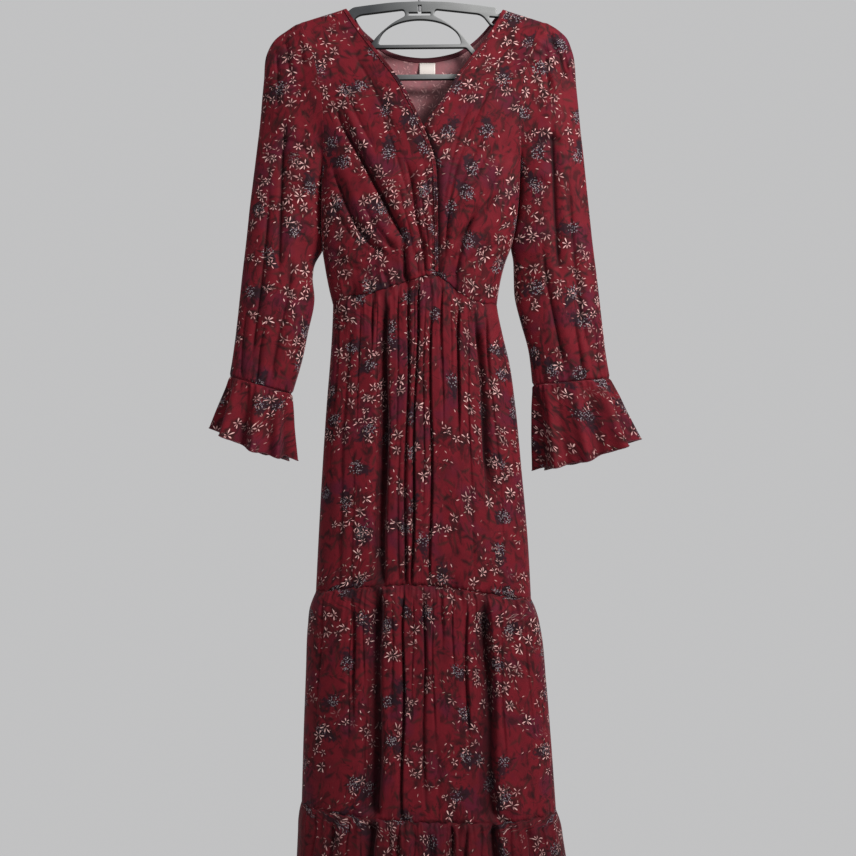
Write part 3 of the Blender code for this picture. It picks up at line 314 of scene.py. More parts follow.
def raised_by(height, strength, distance, **under_it):
    feeds = {"Height": height, "Strength": strength, "Distance": distance, **under_it}
    return add_node(height.tree, "ShaderNodeBump", feeds)["Normal"]


def chiffon(wrong_side):
    """The feeds of the printed cloth's right side, or of its paler wrong side."""
    def feeds(tree):
        place = add_node(tree, "ShaderNodeUVMap", uv_map="cloth")["UV"]
        colour = floral_print(place)
        if wrong_side:
            colour = laid_over(0.46, colour, (0.40, 0.190, 0.205))
        # Painted shade: the cloth's colour is darkened towards near black in its folds, by the share kept on
        # each point.
        folded = add_node(tree, "ShaderNodeAttribute", attribute_name="painted_fold_shade")["Fac"]
        crepe = raised_by(noise(place, 1.0 / 0.0011), 0.35, 0.00025)
        crinkled = raised_by(noise(place, 1.0 / 0.014, 3.0), 0.35, 0.0016, Normal=crepe)
        return {"Base Color": laid_over(folded * 0.86, colour, (0.0060, 0.0012, 0.0020)), "Roughness": 0.72,
                "Specular IOR Level": 0.07, "Sheen Weight": 0.07, "Sheen Roughness": 0.45,
                "Sheen Tint": (0.85, 0.45, 0.50), "Normal": crinkled}
    return feeds


printed_cloth = material("burgundy_floral_chiffon", chiffon(False))
wrong_side = material("burgundy_floral_chiffon_wrong_side", chiffon(True))
shell_thickness = 0.0005


def quads(rows, columns, round_rows=False, round_columns=False):
    """Faces between neighbours in a grid of points, which may close on itself either way."""
    index = np.arange(rows * columns).reshape(rows, columns)
    if round_rows:
        index = np.concatenate((index, index[:1]))
    if round_columns:
        index = np.concatenate((index, index[:, :1]), axis=1)
    return np.stack((index[:-1, :-1], index[1:, :-1], index[1:, 1:], index[:-1, 1:]), axis=-1).reshape(-1, 4)


def mesh_of(name, points, faces, places=None):
    """A mesh of points and faces; places is where each point lies on the flat cloth."""
    mesh = bpy.data.meshes.new(name)
    mesh.from_pydata(points.reshape(-1, 3).tolist(), [], faces)
    if places is not None:
        corners = np.array([loop.vertex_index for loop in mesh.loops])
        flat = places.reshape(-1, 2)[corners].astype(np.float32).reshape(-1)
        mesh.uv_layers.new(name="cloth").data.foreach_set("uv", flat)
    return mesh


def mended(mesh, merged, turned_out):
    """Merges a mesh's doubled points, and turns its faces outwards."""
    work = bmesh.new()
    work.from_mesh(mesh)
    if merged:
        bmesh.ops.remove_doubles(work, verts=work.verts, dist=0.00001)
    if turned_out:
        bmesh.ops.recalc_face_normals(work, faces=work.faces)
    work.to_mesh(mesh)
    work.free()


def finished(name, mesh, *finishes):
    """A smooth-shaded mesh with its materials, as an object of the scene."""
    mesh.shade_smooth()
    mesh.materials.clear()
    for finish in finishes:
        mesh.materials.append(finish)
    return placed(name, mesh)


def evaluated(piece):
    """A piece as its modifiers or its curve make it, as a plain mesh."""
    bpy.context.view_layer.update()
    return bpy.data.meshes.new_from_object(piece.evaluated_get(bpy.context.evaluated_depsgraph_get()))


def applied(piece):
    """A piece with its modifiers applied."""
    made = evaluated(piece)
    made.name = piece.name
    piece.modifiers.clear()
    piece.data = made
    return piece


def declared(piece, node=None):
    """A piece fixed to the one body, with the CAD solid that it stands for hidden."""
    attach(piece, "root")
    if node:
        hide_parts(node)
    return piece


def closed_round(grid):
    """A grid whose first column follows its last one once more."""
    return np.concatenate((grid, grid[:, :1]), axis=1)


def cloth_shell(name, grid, flat, origin, folded, closed=False, turned=False):
    """A piece of cloth: rows of points on its outer face, given a thin wall inwards. flat is where each
    point lies on the flat piece, and origin from which part of the printed cloth that was cut. folded
    is the painted shade of each point, from 0 to 1, which darkens the cloth's colour in its folds."""
    if closed:
        grid, folded = closed_round(grid), closed_round(folded)
    faces = quads(*grid.shape[:2])
    mesh = mesh_of(name, grid, (faces[:, ::-1] if turned else faces).tolist(), np.stack(flat, axis=-1) + origin)
    # Painted shade: each point's share of near black in the cloth's colour, kept as an attribute.
    depths = mesh.attributes.new("painted_fold_shade", "FLOAT", "POINT")
    depths.data.foreach_set("value", np.clip(folded, 0.0, 1.0).astype(np.float32).reshape(-1))
    if closed:
        mended(mesh, True, False)
    piece = finished(name, mesh, printed_cloth, wrong_side)
    wall = piece.modifiers.new("wall", "SOLIDIFY")
    wall.thickness, wall.offset, wall.material_offset = shell_thickness, -1.0, 1
    return applied(piece)




# ==== Bodice ====================================================================================
# A wrap front of two panels, the right one on top, over a plain back, cut from the printed chiffon.
# The panels hang flat from the hanger's arms and are drawn in folds to a point on the waist seam.
# Heights are from the hook's inner top, and x runs towards the wearer's left.
def table(*rows):
    """Rows given in millimetres, with shares in thousandths, as metres and shares."""
    return [np.array(row) / 1000 for row in rows]


# Each armhole: shoulder tip and underarm as x and z, depth and bow
armholes = {
    "right": ((-0.1711, -0.1093), (-0.1405, -0.3260), 0.0230, 0.0150),
    "left": ((0.1769, -0.1078), (0.1479, -0.3160), 0.0230, -0.0150),
}
# Side edges below the underarms: z, right x, left x
bodice_edges = table(
    (-316, -140.5, 147.9), (-340, -141.2, 146.6), (-366.6, -142.1, 145), (-402.9, -142.1, 140.7),
    (-431.9, -141.1, 134.5), (-459.4, -137.2, 124.5), (-504, -128.5, 114.7), (-519, -124.7, 112.9)
)
# Full depth: z, front, back
bodice_depths = table(
    (-80, 29, 23), (-250, 38, 25.5), (-330, 43, 28.5), (-400, 42, 28), (-460, 37, 26), (-519, 35, 25)
)
# Edges of the over and under fronts from the neck point to the waist: z, x
over_edge = table(
    (-89, -105.9), (-123, -83.5), (-156.4, -58.9), (-192.4, -32.1), (-237.2, -7.4), (-283.9, 12.6),
    (-317.8, 23.5), (-360, 26.2), (-420, 27.2), (-479, 27.6)
)
under_edge = table(
    (-90.4, 121.8), (-133.1, 98.2), (-162.8, 74.9), (-188.9, 56.8), (-221.6, 38.5), (-256.6, 13), (-310, -19),
    (-373, -34.8), (-450, -49), (-500, -56.5)
)
# Back neckline: x, z
back_neck = table(
    (-105.9, -89), (-96.5, -94.5), (-87, -111), (-69, -129), (-45, -146.5), (-27, -152.2), (-8, -155.2),
    (12, -155.8), (35, -153.2), (62, -145.2), (85, -129), (102, -111), (112.2, -98.5), (121.8, -90.4)
)
# Arched waist seam: x, front z, back z
waist_seam = table(
    (-124.7, -519, -519), (-106, -509, -516), (-66.5, -504, -513), (-47.5, -497.5, -512), (-27, -490.5, -511.2),
    (0, -482.5, -511), (22, -479, -511.3), (40, -488, -512), (60, -505, -513.5), (81.5, -515.5, -516.5),
    (112.9, -519, -519)
)
# Drape folds and finer creases: depth, half width, then x and z of each point from start to end
over_folds = table(
    (6.2, 8.5, -125.4, -216.8, -112.9, -255.7, -91.1, -296.1, -69.8, -336.3, -51, -371.6, -34.5, -402.5, -18.3,
     -430),
    (5.2, 8, -130.5, -308.9, -115.2, -346.6, -100.7, -383.4, -86.5, -411.8, -67.9, -435.3, -46.7, -449.5),
    (2.8, 7.5, -75.1, -395.2, -55.7, -425.5, -36.8, -442.2),
    (4.2, 7.5, -25.3, -301, -13.3, -336.3, -4.1, -395.2, 3.1, -430.4, 5.6, -470),
    (2, 6.5, 4.5, -307.8, 11, -343.8, 17.6, -388.3, 21.4, -410.1, 25.2, -439.4)
)
over_creases = table(
    (2.2, 3.4, -114, -230, -96, -276, -76, -318, -56, -356, -39, -388),
    (3.4, 4, -24, -428, -20, -455, -19.5, -486), (3, 3.6, 6, -420, 8, -450, 8.5, -478),
    (2.4, 3.2, 18, -410, 19.5, -445, 19.5, -476), (1.6, 6, -118, -185, -101, -225, -84, -262, -64, -300),
    (1.5, 7.5, -98, -150, -76, -190, -54, -235, -30, -285),
    (1.2, 6, -60, -230, -42, -280, -26, -330, -15, -370),
    (1.7, 5, -133, -350, -118, -390, -98, -420, -72, -443, -45, -456),
    (1.8, 4.2, -88, -364, -70, -396, -50, -424, -33, -444),
    (1.5, 4, -62, -345, -45, -380, -29, -412, -17, -442), (1.4, 3.8, -33, -340, -23, -380, -13, -418, -8, -450),
    (1.5, 4, -2, -340, 6, -385, 12, -425, 16, -465), (1, 3.4, 16, -330, 20.5, -375, 23.5, -420),
    (1.3, 7, -130, -430, -105, -462, -74, -476, -42, -477), (1.8, 3.4, -27, -445, -23, -465, -21.5, -485),
    (1.6, 3.2, -7, -440, -3, -460, -1, -478)
)
under_folds = table(
    (3, 12, 125, -335, 90, -390, 60, -430, 42, -465), (2.4, 13, 115, -235, 80, -300, 56, -360, 40, -420)
)
under_creases = table(
    (1.8, 6, 110, -190, 88, -240, 66, -290, 48, -340), (2.2, 5.5, 135, -290, 108, -340, 80, -390, 56, -435),
    (1.6, 5, 78, -220, 60, -270, 45, -325, 35, -380), (2, 6, 130, -390, 102, -430, 75, -465, 56, -490),
    (3, 4.4, 95, -345, 75, -395, 59, -445, 52, -485), (1.8, 3.6, 47, -360, 40, -410, 37, -455),
    (3.2, 4.6, 132, -350, 105, -370, 76, -400, 50, -435), (2.8, 4.4, 127, -428, 98, -442, 68, -460, 47, -480),
    (1.8, 4, 62, -300, 50, -340, 42, -390, 38.5, -440), (1.4, 5, 138, -230, 118, -270, 95, -310, 74, -350)
)
back_folds = table(
    (3.2, 13, -115, -250, -88, -330, -65, -420, -56, -495), (3.2, 13, 118, -240, 90, -330, 68, -420, 54, -495),
    (2.6, 14, 5, -300, 0, -400, -2, -495)
)
back_creases = table(
    (1.5, 7, -125, -210, -105, -290, -90, -380, -83, -470),
    (1.8, 7.5, -50, -240, -38, -330, -30, -420, -28, -495), (1.7, 7.5, 48, -230, 36, -320, 27, -420, 26, -490),
    (1.4, 6.5, 125, -290, 106, -370, 94, -450), (1.3, 5, -105, -360, -98, -430, -96, -490)
)
# Folds that run down into the waist seam: x at the seam, x above, height, depth, half width, darkness of their
# painted shade
waist_pinches = table(
    (-16.8, -19.2, 68, 3.4, 2.1, 960), (26.2, 26.2, 50, 1.8, 2.2, 850), (-42, -48, 34, 2, 1.8, 620),
    (4, 4.8, 46, 1.6, 1.4, 450), (-64, -74, 24, 1.2, 1.5, 400), (52, 58, 30, 1.6, 1.6, 450),
    (83, 95, 24, 1.2, 1.5, 350)
)
seam_gap, neck_band_width = 0.00004, 0.0055
over_steps, under_steps, back_steps = 150, 110, 126
# Gathers into the waist seam: number, height, reach and unevenness
front_gathers, back_gathers = (22, 0.0022, 0.024, 1.3), (34, 0.0020, 0.026, 2.2)
bodice_ruffle = 0.0011
shoulder_roll, drape_drop = 0.0090, 0.170
side_curve, armhole_curve = 0.45, 0.90
across, backward, up = np.eye(3)
waist_side_z, seam_steps = -0.5190, 64
# Even shares down a panel's side: angles round the armhole, then steps below it
part_angles, part_side_steps = (0.0, 0.13, 0.25, 0.36, 0.58, 0.88, 1.22, 1.60, 2.00, 2.40, 2.78, math.pi), 5


def smooth_step(value):
    """0 below 0, 1 above 1, and an even S between."""
    value = np.clip(value, 0.0, 1.0)
    return value * value * (3.0 - 2.0 * value)


def bell(value):
    return np.exp(-value**2)


def between(start, end, share):
    return start + (end - start) * share


def marks_along(points):
    """How far along a line each of its points lies."""
    return np.concatenate(([0.0], np.cumsum(np.linalg.norm(np.diff(points, axis=0), axis=1))))


def follow(rows, keys):
    """A table's other columns at many values of its first one, on a smooth curve through the rows."""
    rows = np.array(rows, dtype=float)
    if rows[0, 0] > rows[-1, 0]:
        rows = rows[::-1]
    places, values = rows[:, 0], rows[:, 1:]
    keys = np.clip(np.asarray(keys, dtype=float), places[0], places[-1])
    first = np.clip(np.searchsorted(places, keys, side="right") - 1, 0, len(places) - 2)
    span = (places[first + 1] - places[first])[..., None]
    slopes = np.gradient(values, places, axis=0)
    t = (keys - places[first])[..., None] / span
    return ((2 * t**3 - 3 * t**2 + 1) * values[first] + (t**3 - 2 * t**2 + t) * slopes[first] * span
            + (3 * t**2 - 2 * t**3) * values[first + 1] + (t**3 - t**2) * slopes[first + 1] * span)


def seam_height(rows, x):
    """Heights of a seam, front and back, with the small unevenness that gathered cloth gives it."""
    uneven = 0.0007 * (np.sin(310 * x + 0.4) + 0.6 * np.sin(733 * x + 1.0))
    return follow(rows, x) + np.asarray(uneven)[..., None]


def section_share(c, curve):
    """How much of its full depth a section has at c, which runs from -1 at one side to 1 at the other."""
    return np.maximum(0.0, 1.0 - np.abs(c) ** 2.5) ** curve


def armhole_point(side, angle):
    """Points of an armhole seam: angle 0 at the shoulder tip, pi at the underarm, the front between."""
    tip, under_arm, depth, bow = armholes[side]
    angle = np.asarray(angle, dtype=float)
    x, z = ((top + low) / 2 + (top - low) / 2 * np.cos(angle) for top, low in zip(tip, under_arm))
    return np.stack((x + bow * np.sin(angle) ** 2, -depth * np.sin(angle), z), axis=-1)


def side_edge(side, z):
    """Where the body ends at each height: x, the depth there, and 0 at the side seam up to 1 mid armhole."""
    tip, under_arm, _, _ = armholes[side]
    middle = (tip[1] + under_arm[1]) / 2
    angle = np.arccos(np.clip((z - middle) / (tip[1] - middle), -1.0, 1.0))
    point = armhole_point(side, angle)
    below = follow(bodice_edges, z)[..., 0 if side == "right" else 1]
    beside_arm = z > under_arm[1]
    return np.where(beside_arm, (point[..., 0], -point[..., 1], np.sin(angle)), (below, 0.0 * z, 0.0 * z))


def shoulder_height(x):
    """Height of the shoulder line, which runs on past the neck points."""
    heights = []
    for side, neck in (("right", over_edge[0]), ("left", under_edge[0])):
        tip = armholes[side][0]
        heights.append(neck[0] + (tip[1] - neck[0]) / (tip[0] - neck[1]) * (x - neck[1]))
    return np.where(x < 0, *heights)


def body_depth(x, z, front):
    """Distance of the front or back cloth from the hanger's middle plane, without folds."""
    right, left = side_edge("right", z), side_edge("left", z)
    share = np.clip((x - right[0]) / (left[0] - right[0]), 0.0, 1.0)
    edge_depth, openness = between(right[1:], left[1:], share)
    fall = np.maximum(0.0, shoulder_height(x) - z)
    rolled = np.sqrt(shoulder_roll**2 - (shoulder_roll - np.minimum(fall, shoulder_roll)) ** 2)
    full = follow(bodice_depths, z)[..., 0 if front else 1]
    depth = rolled + (full - shoulder_roll) * smooth_step(fall / drape_drop)
    curve = between(side_curve, armhole_curve, np.minimum(1.0, 1.6 * openness))
    least = 0.75 * rolled * smooth_step((0.045 - fall) / 0.030)
    return np.maximum(least, edge_depth + (depth - edge_depth) * section_share(2.0 * share - 1.0, curve))


def wrap_tuck(x, z):
    """How far the under front steps back behind the over front's edge."""
    reach = between(0.0085, 0.0045, smooth_step((-0.435 - z) / 0.045))
    return reach * smooth_step((follow(over_edge, z)[..., 0] - x + 0.012) / 0.026)


def drape_relief(x, z, folds):
    """Relief of drape folds: each a valley along a smooth line, with a low ridge on one side."""
    relief = np.zeros_like(x)
    for depth, width, *rough in folds:
        rough = np.reshape(rough, (-1, 2))
        marks = marks_along(rough)
        points = follow(np.column_stack((marks, rough)), np.linspace(0.0, marks[-1], 25))
        steps = np.diff(points, axis=0)
        sizes = np.linalg.norm(steps, axis=1)
        best, side, place = np.full(x.shape, np.inf), np.zeros_like(x), np.zeros_like(x)
        for number, (start, step, size) in enumerate(zip(points, steps, sizes)):
            along = np.clip(((x - start[0]) * step[0] + (z - start[1]) * step[1]) / size**2, 0.0, 1.0)
            off_x, off_z = x - start[0] - along * step[0], z - start[1] - along * step[1]
            far = np.hypot(off_x, off_z)
            nearer = far < best
            best = np.where(nearer, far, best)
            side = np.where(nearer, np.copysign(far, step[0] * off_z - step[1] * off_x), side)
            place = np.where(nearer, (np.sum(sizes[:number]) + along * size) / np.sum(sizes), place)
        strength = smooth_step(place / 0.30) * smooth_step((1.05 - place) / 0.15)
        valley = 0.50 * bell(side / width) + 0.80 * bell(3.0 * side / width)
        relief += depth * strength * (0.45 * bell((side - 1.7 * width) / (1.2 * width)) - valley)
    return relief


def ruffled(x, z, amount, scale=1.0):
    """The slight unevenness of hanging cloth: a few slow waves of unlike length and direction."""
    waves = ((1.0, 61, 23, 0.7), (0.8, 37, -71, 2.1), (0.6, 113, 49, 4.0), (0.4, 171, -97, 1.3))
    return amount * sum(share * np.sin((a * x + b * z) * scale + turn) for share, a, b, turn in waves) / 2.8


def gathers_along(right, left, count, height, reach, turn):
    """Gathers spread along a seam, uneven in place, height and reach: place, height, width, reach."""
    spacing = (left - right) / count
    index = np.arange(count)
    return np.stack((right + spacing * (index + 0.5 + 0.22 * np.sin(2.4 * index + turn)),
                     height * (0.75 + 0.35 * np.sin(1.7 * index + 2.0 * turn)), np.full(count, 0.32 * spacing),
                     reach * (1.0 + 0.6 * np.cos(3.1 * index))), axis=1)


def gathered_relief(away_x, drop, gathers):
    """Relief of gathers that hang from a seam and widen and die out as they drop."""
    away_x, drop = np.broadcast_arrays(away_x, drop)
    relief = np.zeros(drop.shape)
    for place, height, width, reach in gathers:
        strength = smooth_step(drop / min(0.012, 0.14 * reach)) * np.exp(-drop / reach)
        widened = width * (1.0 + 0.6 * np.minimum(1.0, drop / 0.10))
        relief += height * strength * bell((away_x - place) / widened)
    return relief


def seam_wave(x):
    """How a seam of the skirt swings in and out where the folds above run on into those below."""
    return 0.0016 * (np.sin(92 * x + 0.5) + 0.8 * np.sin(171 * x + 2.2) + 0.5 * np.sin(263 * x + 4.1)) - 0.0012


def both_dark(first, second):
    """How dark a place is that two shadows fall on."""
    return 1.0 - (1.0 - first) * (1.0 - second)


def waist_pinched(x, rise):
    """Relief and painted shade of the front round the waist seam, with the folds that run down into it."""
    relief, dark = seam_wave(x) * bell(rise / 0.018), 0.0 * x
    for low_x, high_x, height, depth, width, strength in waist_pinches:
        share = np.clip(rise / height, 0.0, 1.0)
        off = x - between(low_x, high_x, share)
        fade = 1.0 - smooth_step((share - 0.45) / 0.55)
        relief = relief - depth * fade * bell(off / (1.6 * width))
        dark = both_dark(dark, strength * fade * bell(off / width))
    return relief, dark


def fold_shade(relief):
    """Painted shade from the relief: how far into a fold each place lies, 0 on the open cloth, 1 in a deep
    fold.
    """
    return 0.86 * smooth_step((-relief - 0.0038) / 0.0046) + 0.14 * smooth_step((-relief - 0.0010) / 0.0030)


def seam_points(side):
    """Points down a panel's outer edge, the armhole's first, and how far down each lies, from 0 to 1."""
    under_z = armholes[side][1][1]
    z = np.linspace(under_z, waist_side_z, seam_steps + 1)[1:]
    below = np.stack((side_edge(side, z)[0], 0.0 * z, z), axis=-1)
    points = np.concatenate((armhole_point(side, np.linspace(0.0, math.pi, seam_steps + 1)), below))
    marks = np.concatenate((armhole_point(side, part_angles)[:, 2],
                            np.linspace(under_z, waist_side_z, part_side_steps + 1)[1:]))
    down = np.interp(-points[:, 2], -marks, np.linspace(0.0, 1.0, len(marks)))[:, None]
    inward = across if side == "right" else -across
    facing = np.where(np.arange(len(points))[:, None] < seam_steps, inward, -backward)
    return points, down, facing * seam_gap / 2


def flat_places(grid):
    """Where each point lies on the flat cloth: across from the middle column, and down from the top."""
    middle = grid.shape[1] // 2
    u = np.cumsum(np.linalg.norm(np.diff(grid, axis=1, prepend=grid[:, :1]), axis=2), axis=1)
    v = -marks_along(grid[:, middle])
    return u - u[:, middle:middle + 1], np.repeat(v[:, None], grid.shape[1], axis=1)


def front_panel(side, edge_line, steps, folds, creases):
    """A front panel: rows from the shoulder down, columns from its side to its free edge."""
    outer, down, apart = seam_points(side)
    (end_z, _), (_, bottom_x) = edge_line[0], edge_line[-1]
    bottom_z = seam_height(waist_seam, bottom_x)[0]
    end_z = end_z + (outer[:, 2:] - outer[0, 2]) * (bottom_z - end_z) / (outer[-1, 2] - outer[0, 2])
    end_x = follow(edge_line, end_z)[..., 0]
    end_x[-1] = bottom_x
    share = np.linspace(0.0, 1.0, steps + 1)[None, :] ** 1.05
    bottom_line = between(outer[-1, 0], bottom_x, share) + 0.0 * down
    waist = seam_height(waist_seam, bottom_line[0])[:, 0]
    x, z = between(outer[:, :1], end_x, share), between(outer[:, 2:], end_z, share)
    z = z + (waist - between(outer[-1, 2], end_z[-1], share)) * down**5
    width = np.abs(end_x - outer[:, :1])
    inside, rise, fall = share * width, np.maximum(0.0, z - waist), np.maximum(0.0, shoulder_height(x) - z)
    drape = drape_relief(x, z, folds) * smooth_step(inside / 0.025) * smooth_step((1.0 - down) / 0.06)
    light = smooth_step(inside / 0.012) * smooth_step(fall / 0.05) * smooth_step((z - waist) / 0.010)
    free = smooth_step((1.0 - share) * width / 0.018)
    fine = drape_relief(x, z, creases) * (0.35 + 0.65 * free) + ruffled(x, z, bodice_ruffle) * free
    pucker = gathers_along(*sorted((outer[-1, 0], bottom_x)), *front_gathers)
    fine += gathered_relief(bottom_line, rise, pucker) * free
    arm_pucker = np.sin(2 * math.pi * (z + 0.3 * x) / 0.0105 + 2.5 * np.sin(z * 90)) * 0.0005
    fine += arm_pucker * np.exp(-inside / 0.012) * smooth_step(inside / 0.004)
    pinch, pinch_dark = waist_pinched(bottom_line, rise)
    beside = smooth_step(inside / 0.014)
    depth = body_depth(x, z, True) + drape + light * fine + beside * pinch
    shade = np.maximum(fold_shade(drape + light * fine), beside * pinch_dark)
    if side == "left":
        depth -= wrap_tuck(x, z)
        # Painted shadow that the over front's edge casts on the under front, darkest right beside the edge.
        beyond_edge = np.maximum(0.0, x - follow(over_edge, z)[..., 0])
        painted_lap_shadow = np.minimum(1.0, 1.5 * np.exp(-beyond_edge / 0.0046)) * smooth_step((-0.236 - z) / 0.030)
        shade = np.maximum(shade, 0.95 * painted_lap_shadow)
    depth[0] = 0.0
    grid = np.stack((x, -np.maximum(depth, 0.0), z), axis=-1)
    grid[:, 0] = outer + apart
    grid[0] -= backward * seam_gap / 2
    grid[-1] += up * seam_gap / 2
    return grid, shade


def back_panel(steps):
    """The back: rows from the shoulders and the neckline down, columns from right to left."""
    (right, down, right_apart), (left, _, left_apart) = seam_points("right"), seam_points("left")
    even = np.linspace(0.0, 1.0, steps + 1)[None, :]
    share = between((1.0 - np.cos(math.pi * even)) / 2, even, 0.55)
    top_x, _, straight_top = between(right[0, :, None], left[0, :, None], share)
    in_neck = (top_x >= back_neck[0][0]) & (top_x <= back_neck[-1][0])
    top_z = np.where(in_neck, follow(back_neck, top_x)[..., 0], shoulder_height(top_x))
    fall = right[0, 2] - right[:, 2:]
    hold = np.maximum(0.0, 1.0 - np.maximum(0.0, fall - 0.0070) / drape_drop) ** 1.5
    x, z = (between(right[:, axis, None], left[:, axis, None], share) for axis in (0, 2))
    bottom_line = x[-1] + 0.0 * down
    waist = seam_height(waist_seam, x[-1])[:, 1]
    z = z + (top_z - straight_top) * hold + (waist - waist_side_z) * down**5
    beside = np.minimum(share, 1.0 - share)
    drape = drape_relief(x, z, back_folds) * smooth_step(beside / 0.12) * smooth_step((1.0 - down) / 0.06)
    light = smooth_step(beside / 0.05) * smooth_step((z - waist) / 0.010) * smooth_step(fall / 0.06)
    pucker = gathers_along(right[-1, 0], left[-1, 0], *back_gathers)
    fine = drape_relief(x, z, back_creases) + ruffled(x, z, bodice_ruffle)
    fine += gathered_relief(bottom_line, np.maximum(0.0, z - waist), pucker)
    grid = np.stack((x, body_depth(x, z, False) + drape + light * fine, z), axis=-1)
    mirror = np.array((1.0, -1.0, 1.0))
    grid[:, 0], grid[:, -1] = (right + right_apart) * mirror, (left + left_apart) * mirror
    grid[0] += backward * seam_gap / 2
    grid[-1] += up * seam_gap / 2
    # With painted shade in its folds.
    return grid, fold_shade(drape + light * fine)


over_grid, over_shade = front_panel("right", over_edge, over_steps, over_folds, over_creases)
under_grid, under_shade = front_panel("left", under_edge, under_steps, under_folds, under_creases)
back_grid, back_shade = back_panel(back_steps)
for name, node, grid, shade, origin, flat, area in (
        ("over_front", "front_bodice_right", over_grid, over_shade, (0.31, 1.90), (0.300, 0.450), 0.068),
        ("under_front", "front_bodice_left", under_grid, under_shade, (0.77, 1.90), (0.290, 0.450), 0.066),
        ("back", "back_bodice", back_grid, back_shade, (1.58, 2.27), (0.370, 0.440), 0.126)):
    piece = cloth_shell(name, grid, flat_places(grid), origin, shade, turned=name != "over_front")
    declared(piece, node)


# ==== Neck bands and binding ======================================================================
# The wrap's two edges are finished with a narrow turned band, and the back neckline with a darker
# bias binding on the inside. Each is a soft folded strip of plain burgundy chiffon, topstitched.
def grain_of(tree, scale):
    """Fine grain, the same all through a piece."""
    return noise(add_node(tree, "ShaderNodeTexCoord")["Object"], scale, dimensions="3D")


def plain_chiffon(tree):
    weave = grain_of(tree, 900.0)
    return {"Base Color": laid_over(weave, (0.034, 0.0045, 0.0085), (0.085, 0.0095, 0.0180)), "Roughness": 0.68,
            "Specular IOR Level": 0.25, "Normal": raised_by(weave, 0.4, 0.0002)}


binding_cloth = material("plain_burgundy_binding", plain_chiffon)
thread = material("burgundy_thread", lambda tree: {"Base Color": (0.10, 0.012, 0.022), "Roughness": 0.5})
strip_steps, strip_back = 8, 0.0001


def folded_strip(name, node, edge, inner, height, finish):
    """A soft folded strip between two lines of points, rounded over its face and closed behind."""
    rows = []
    for turn in np.linspace(0.0, math.pi, strip_steps + 1):
        rise = height * (0.25 + 0.75 * math.sin(turn) ** 0.6)
        rows.append(between(edge, inner, 0.5 - 0.5 * math.cos(turn)) - backward * rise)
    ring = np.array(rows + [line - backward * strip_back for line in (inner, (edge + inner) / 2, edge)])
    count, length = ring.shape[:2]
    start = np.arange(count) * length
    width = np.linalg.norm(inner[0] - edge[0])
    around = width * np.array((*np.linspace(0.0, 1.2, strip_steps + 1), 1.3, 1.8, 2.3))
    faces = quads(count, length, round_rows=True).tolist() + [start.tolist(), (start + length - 1).tolist()]
    places = np.stack(np.broadcast_arrays(around[:, None], marks_along(edge)), axis=-1)
    mesh = mesh_of(name, ring, faces, places)
    mended(mesh, False, True)
    return declared(finished(name, mesh, finish), node)


def points_along(lines, distance):
    """The point that lies a distance along each line of points."""
    return np.array([[np.interp(distance, marks_along(line), values) for values in line.T] for line in lines])


def thread_stitches(name, line, spacing=0.0026, length=0.0019, thickness=0.00022):
    """A row of topstitches along a line of points, each a small flattened bead of thread."""
    tree = bpy.data.node_groups.new(name + "_tree", "GeometryNodeTree")
    tree.interface.new_socket("Geometry", in_out="INPUT", socket_type="NodeSocketGeometry")
    for label, size in (("Spacing", spacing), ("Stitch Length", length), ("Thread", thickness)):
        tree.interface.new_socket(label, in_out="INPUT", socket_type="NodeSocketFloat").default_value = size
    tree.interface.new_socket("Geometry", in_out="OUTPUT", socket_type="NodeSocketGeometry")
    seam, apart, bead_length, bead_width, *_ = add_node(tree, "NodeGroupInput").values()
    curve = add_node(tree, "GeometryNodeMeshToCurve", (seam,))["Curve"]
    spaced = add_node(tree, "GeometryNodeCurveToPoints", {"Curve": curve, "Length": apart}, mode="LENGTH")
    bead = add_node(tree, "GeometryNodeMeshUVSphere", {"Segments": 6, "Rings": 4, "Radius": 1.0})["Mesh"]
    half_sizes = (bead_width, bead_width, bead_length * 0.5)
    feeds = {"Points": spaced["Points"], "Instance": bead, "Rotation": spaced["Rotation"],
             "Scale": add_node(tree, "ShaderNodeCombineXYZ", half_sizes)["Vector"]}
    beads = add_node(tree, "GeometryNodeInstanceOnPoints", feeds)["Instances"]
    sewn = add_node(tree, "GeometryNodeRealizeInstances", (beads,))["Geometry"]
    dyed = add_node(tree, "GeometryNodeSetMaterial", {"Geometry": sewn, "Material": thread})["Geometry"]
    add_node(tree, "NodeGroupOutput", (dyed,))
    mesh = bpy.data.meshes.new(name)
    edges = [(step, step + 1) for step in range(len(line) - 1)]
    mesh.from_pydata((line - backward * thickness).tolist(), edges, [])
    row = placed(name, mesh)
    row.modifiers.new("stitches", "NODES").node_group = tree
    declared(applied(row))


for name, node, grid, last_row in (
        ("over_neck_band", "neck_band_right", over_grid, len(over_grid) - 2),
        ("under_neck_band", "neck_band_left", under_grid, int(np.argmax(under_grid[:, -1, 2] < -0.275)))):
    rows = grid[1:last_row, ::-1] - backward * 0.0003
    edge, inner = rows[:, 0], points_along(rows, neck_band_width)
    folded_strip(name, node, edge, inner, 0.0007, printed_cloth)
    thread_stitches(name + "_stitches", between(edge, inner, 0.82) - backward * 0.0006)

binding_width = 0.0070
neck_x = back_grid[0, :, 0]
neck_columns = back_grid[:, (neck_x > back_neck[0][0] + 0.002) & (neck_x < back_neck[-1][0] - 0.002)]
neck_columns = neck_columns.transpose(1, 0, 2) - backward * (shell_thickness + 0.0001)
edge, inner = neck_columns[:, 0], points_along(neck_columns, binding_width)
folded_strip("back_binding", "back_neck_binding", edge + up * 0.0004, inner, 0.0010, binding_cloth)
thread_stitches("back_binding_stitches", between(edge, inner, 0.86) - backward * 0.0007)


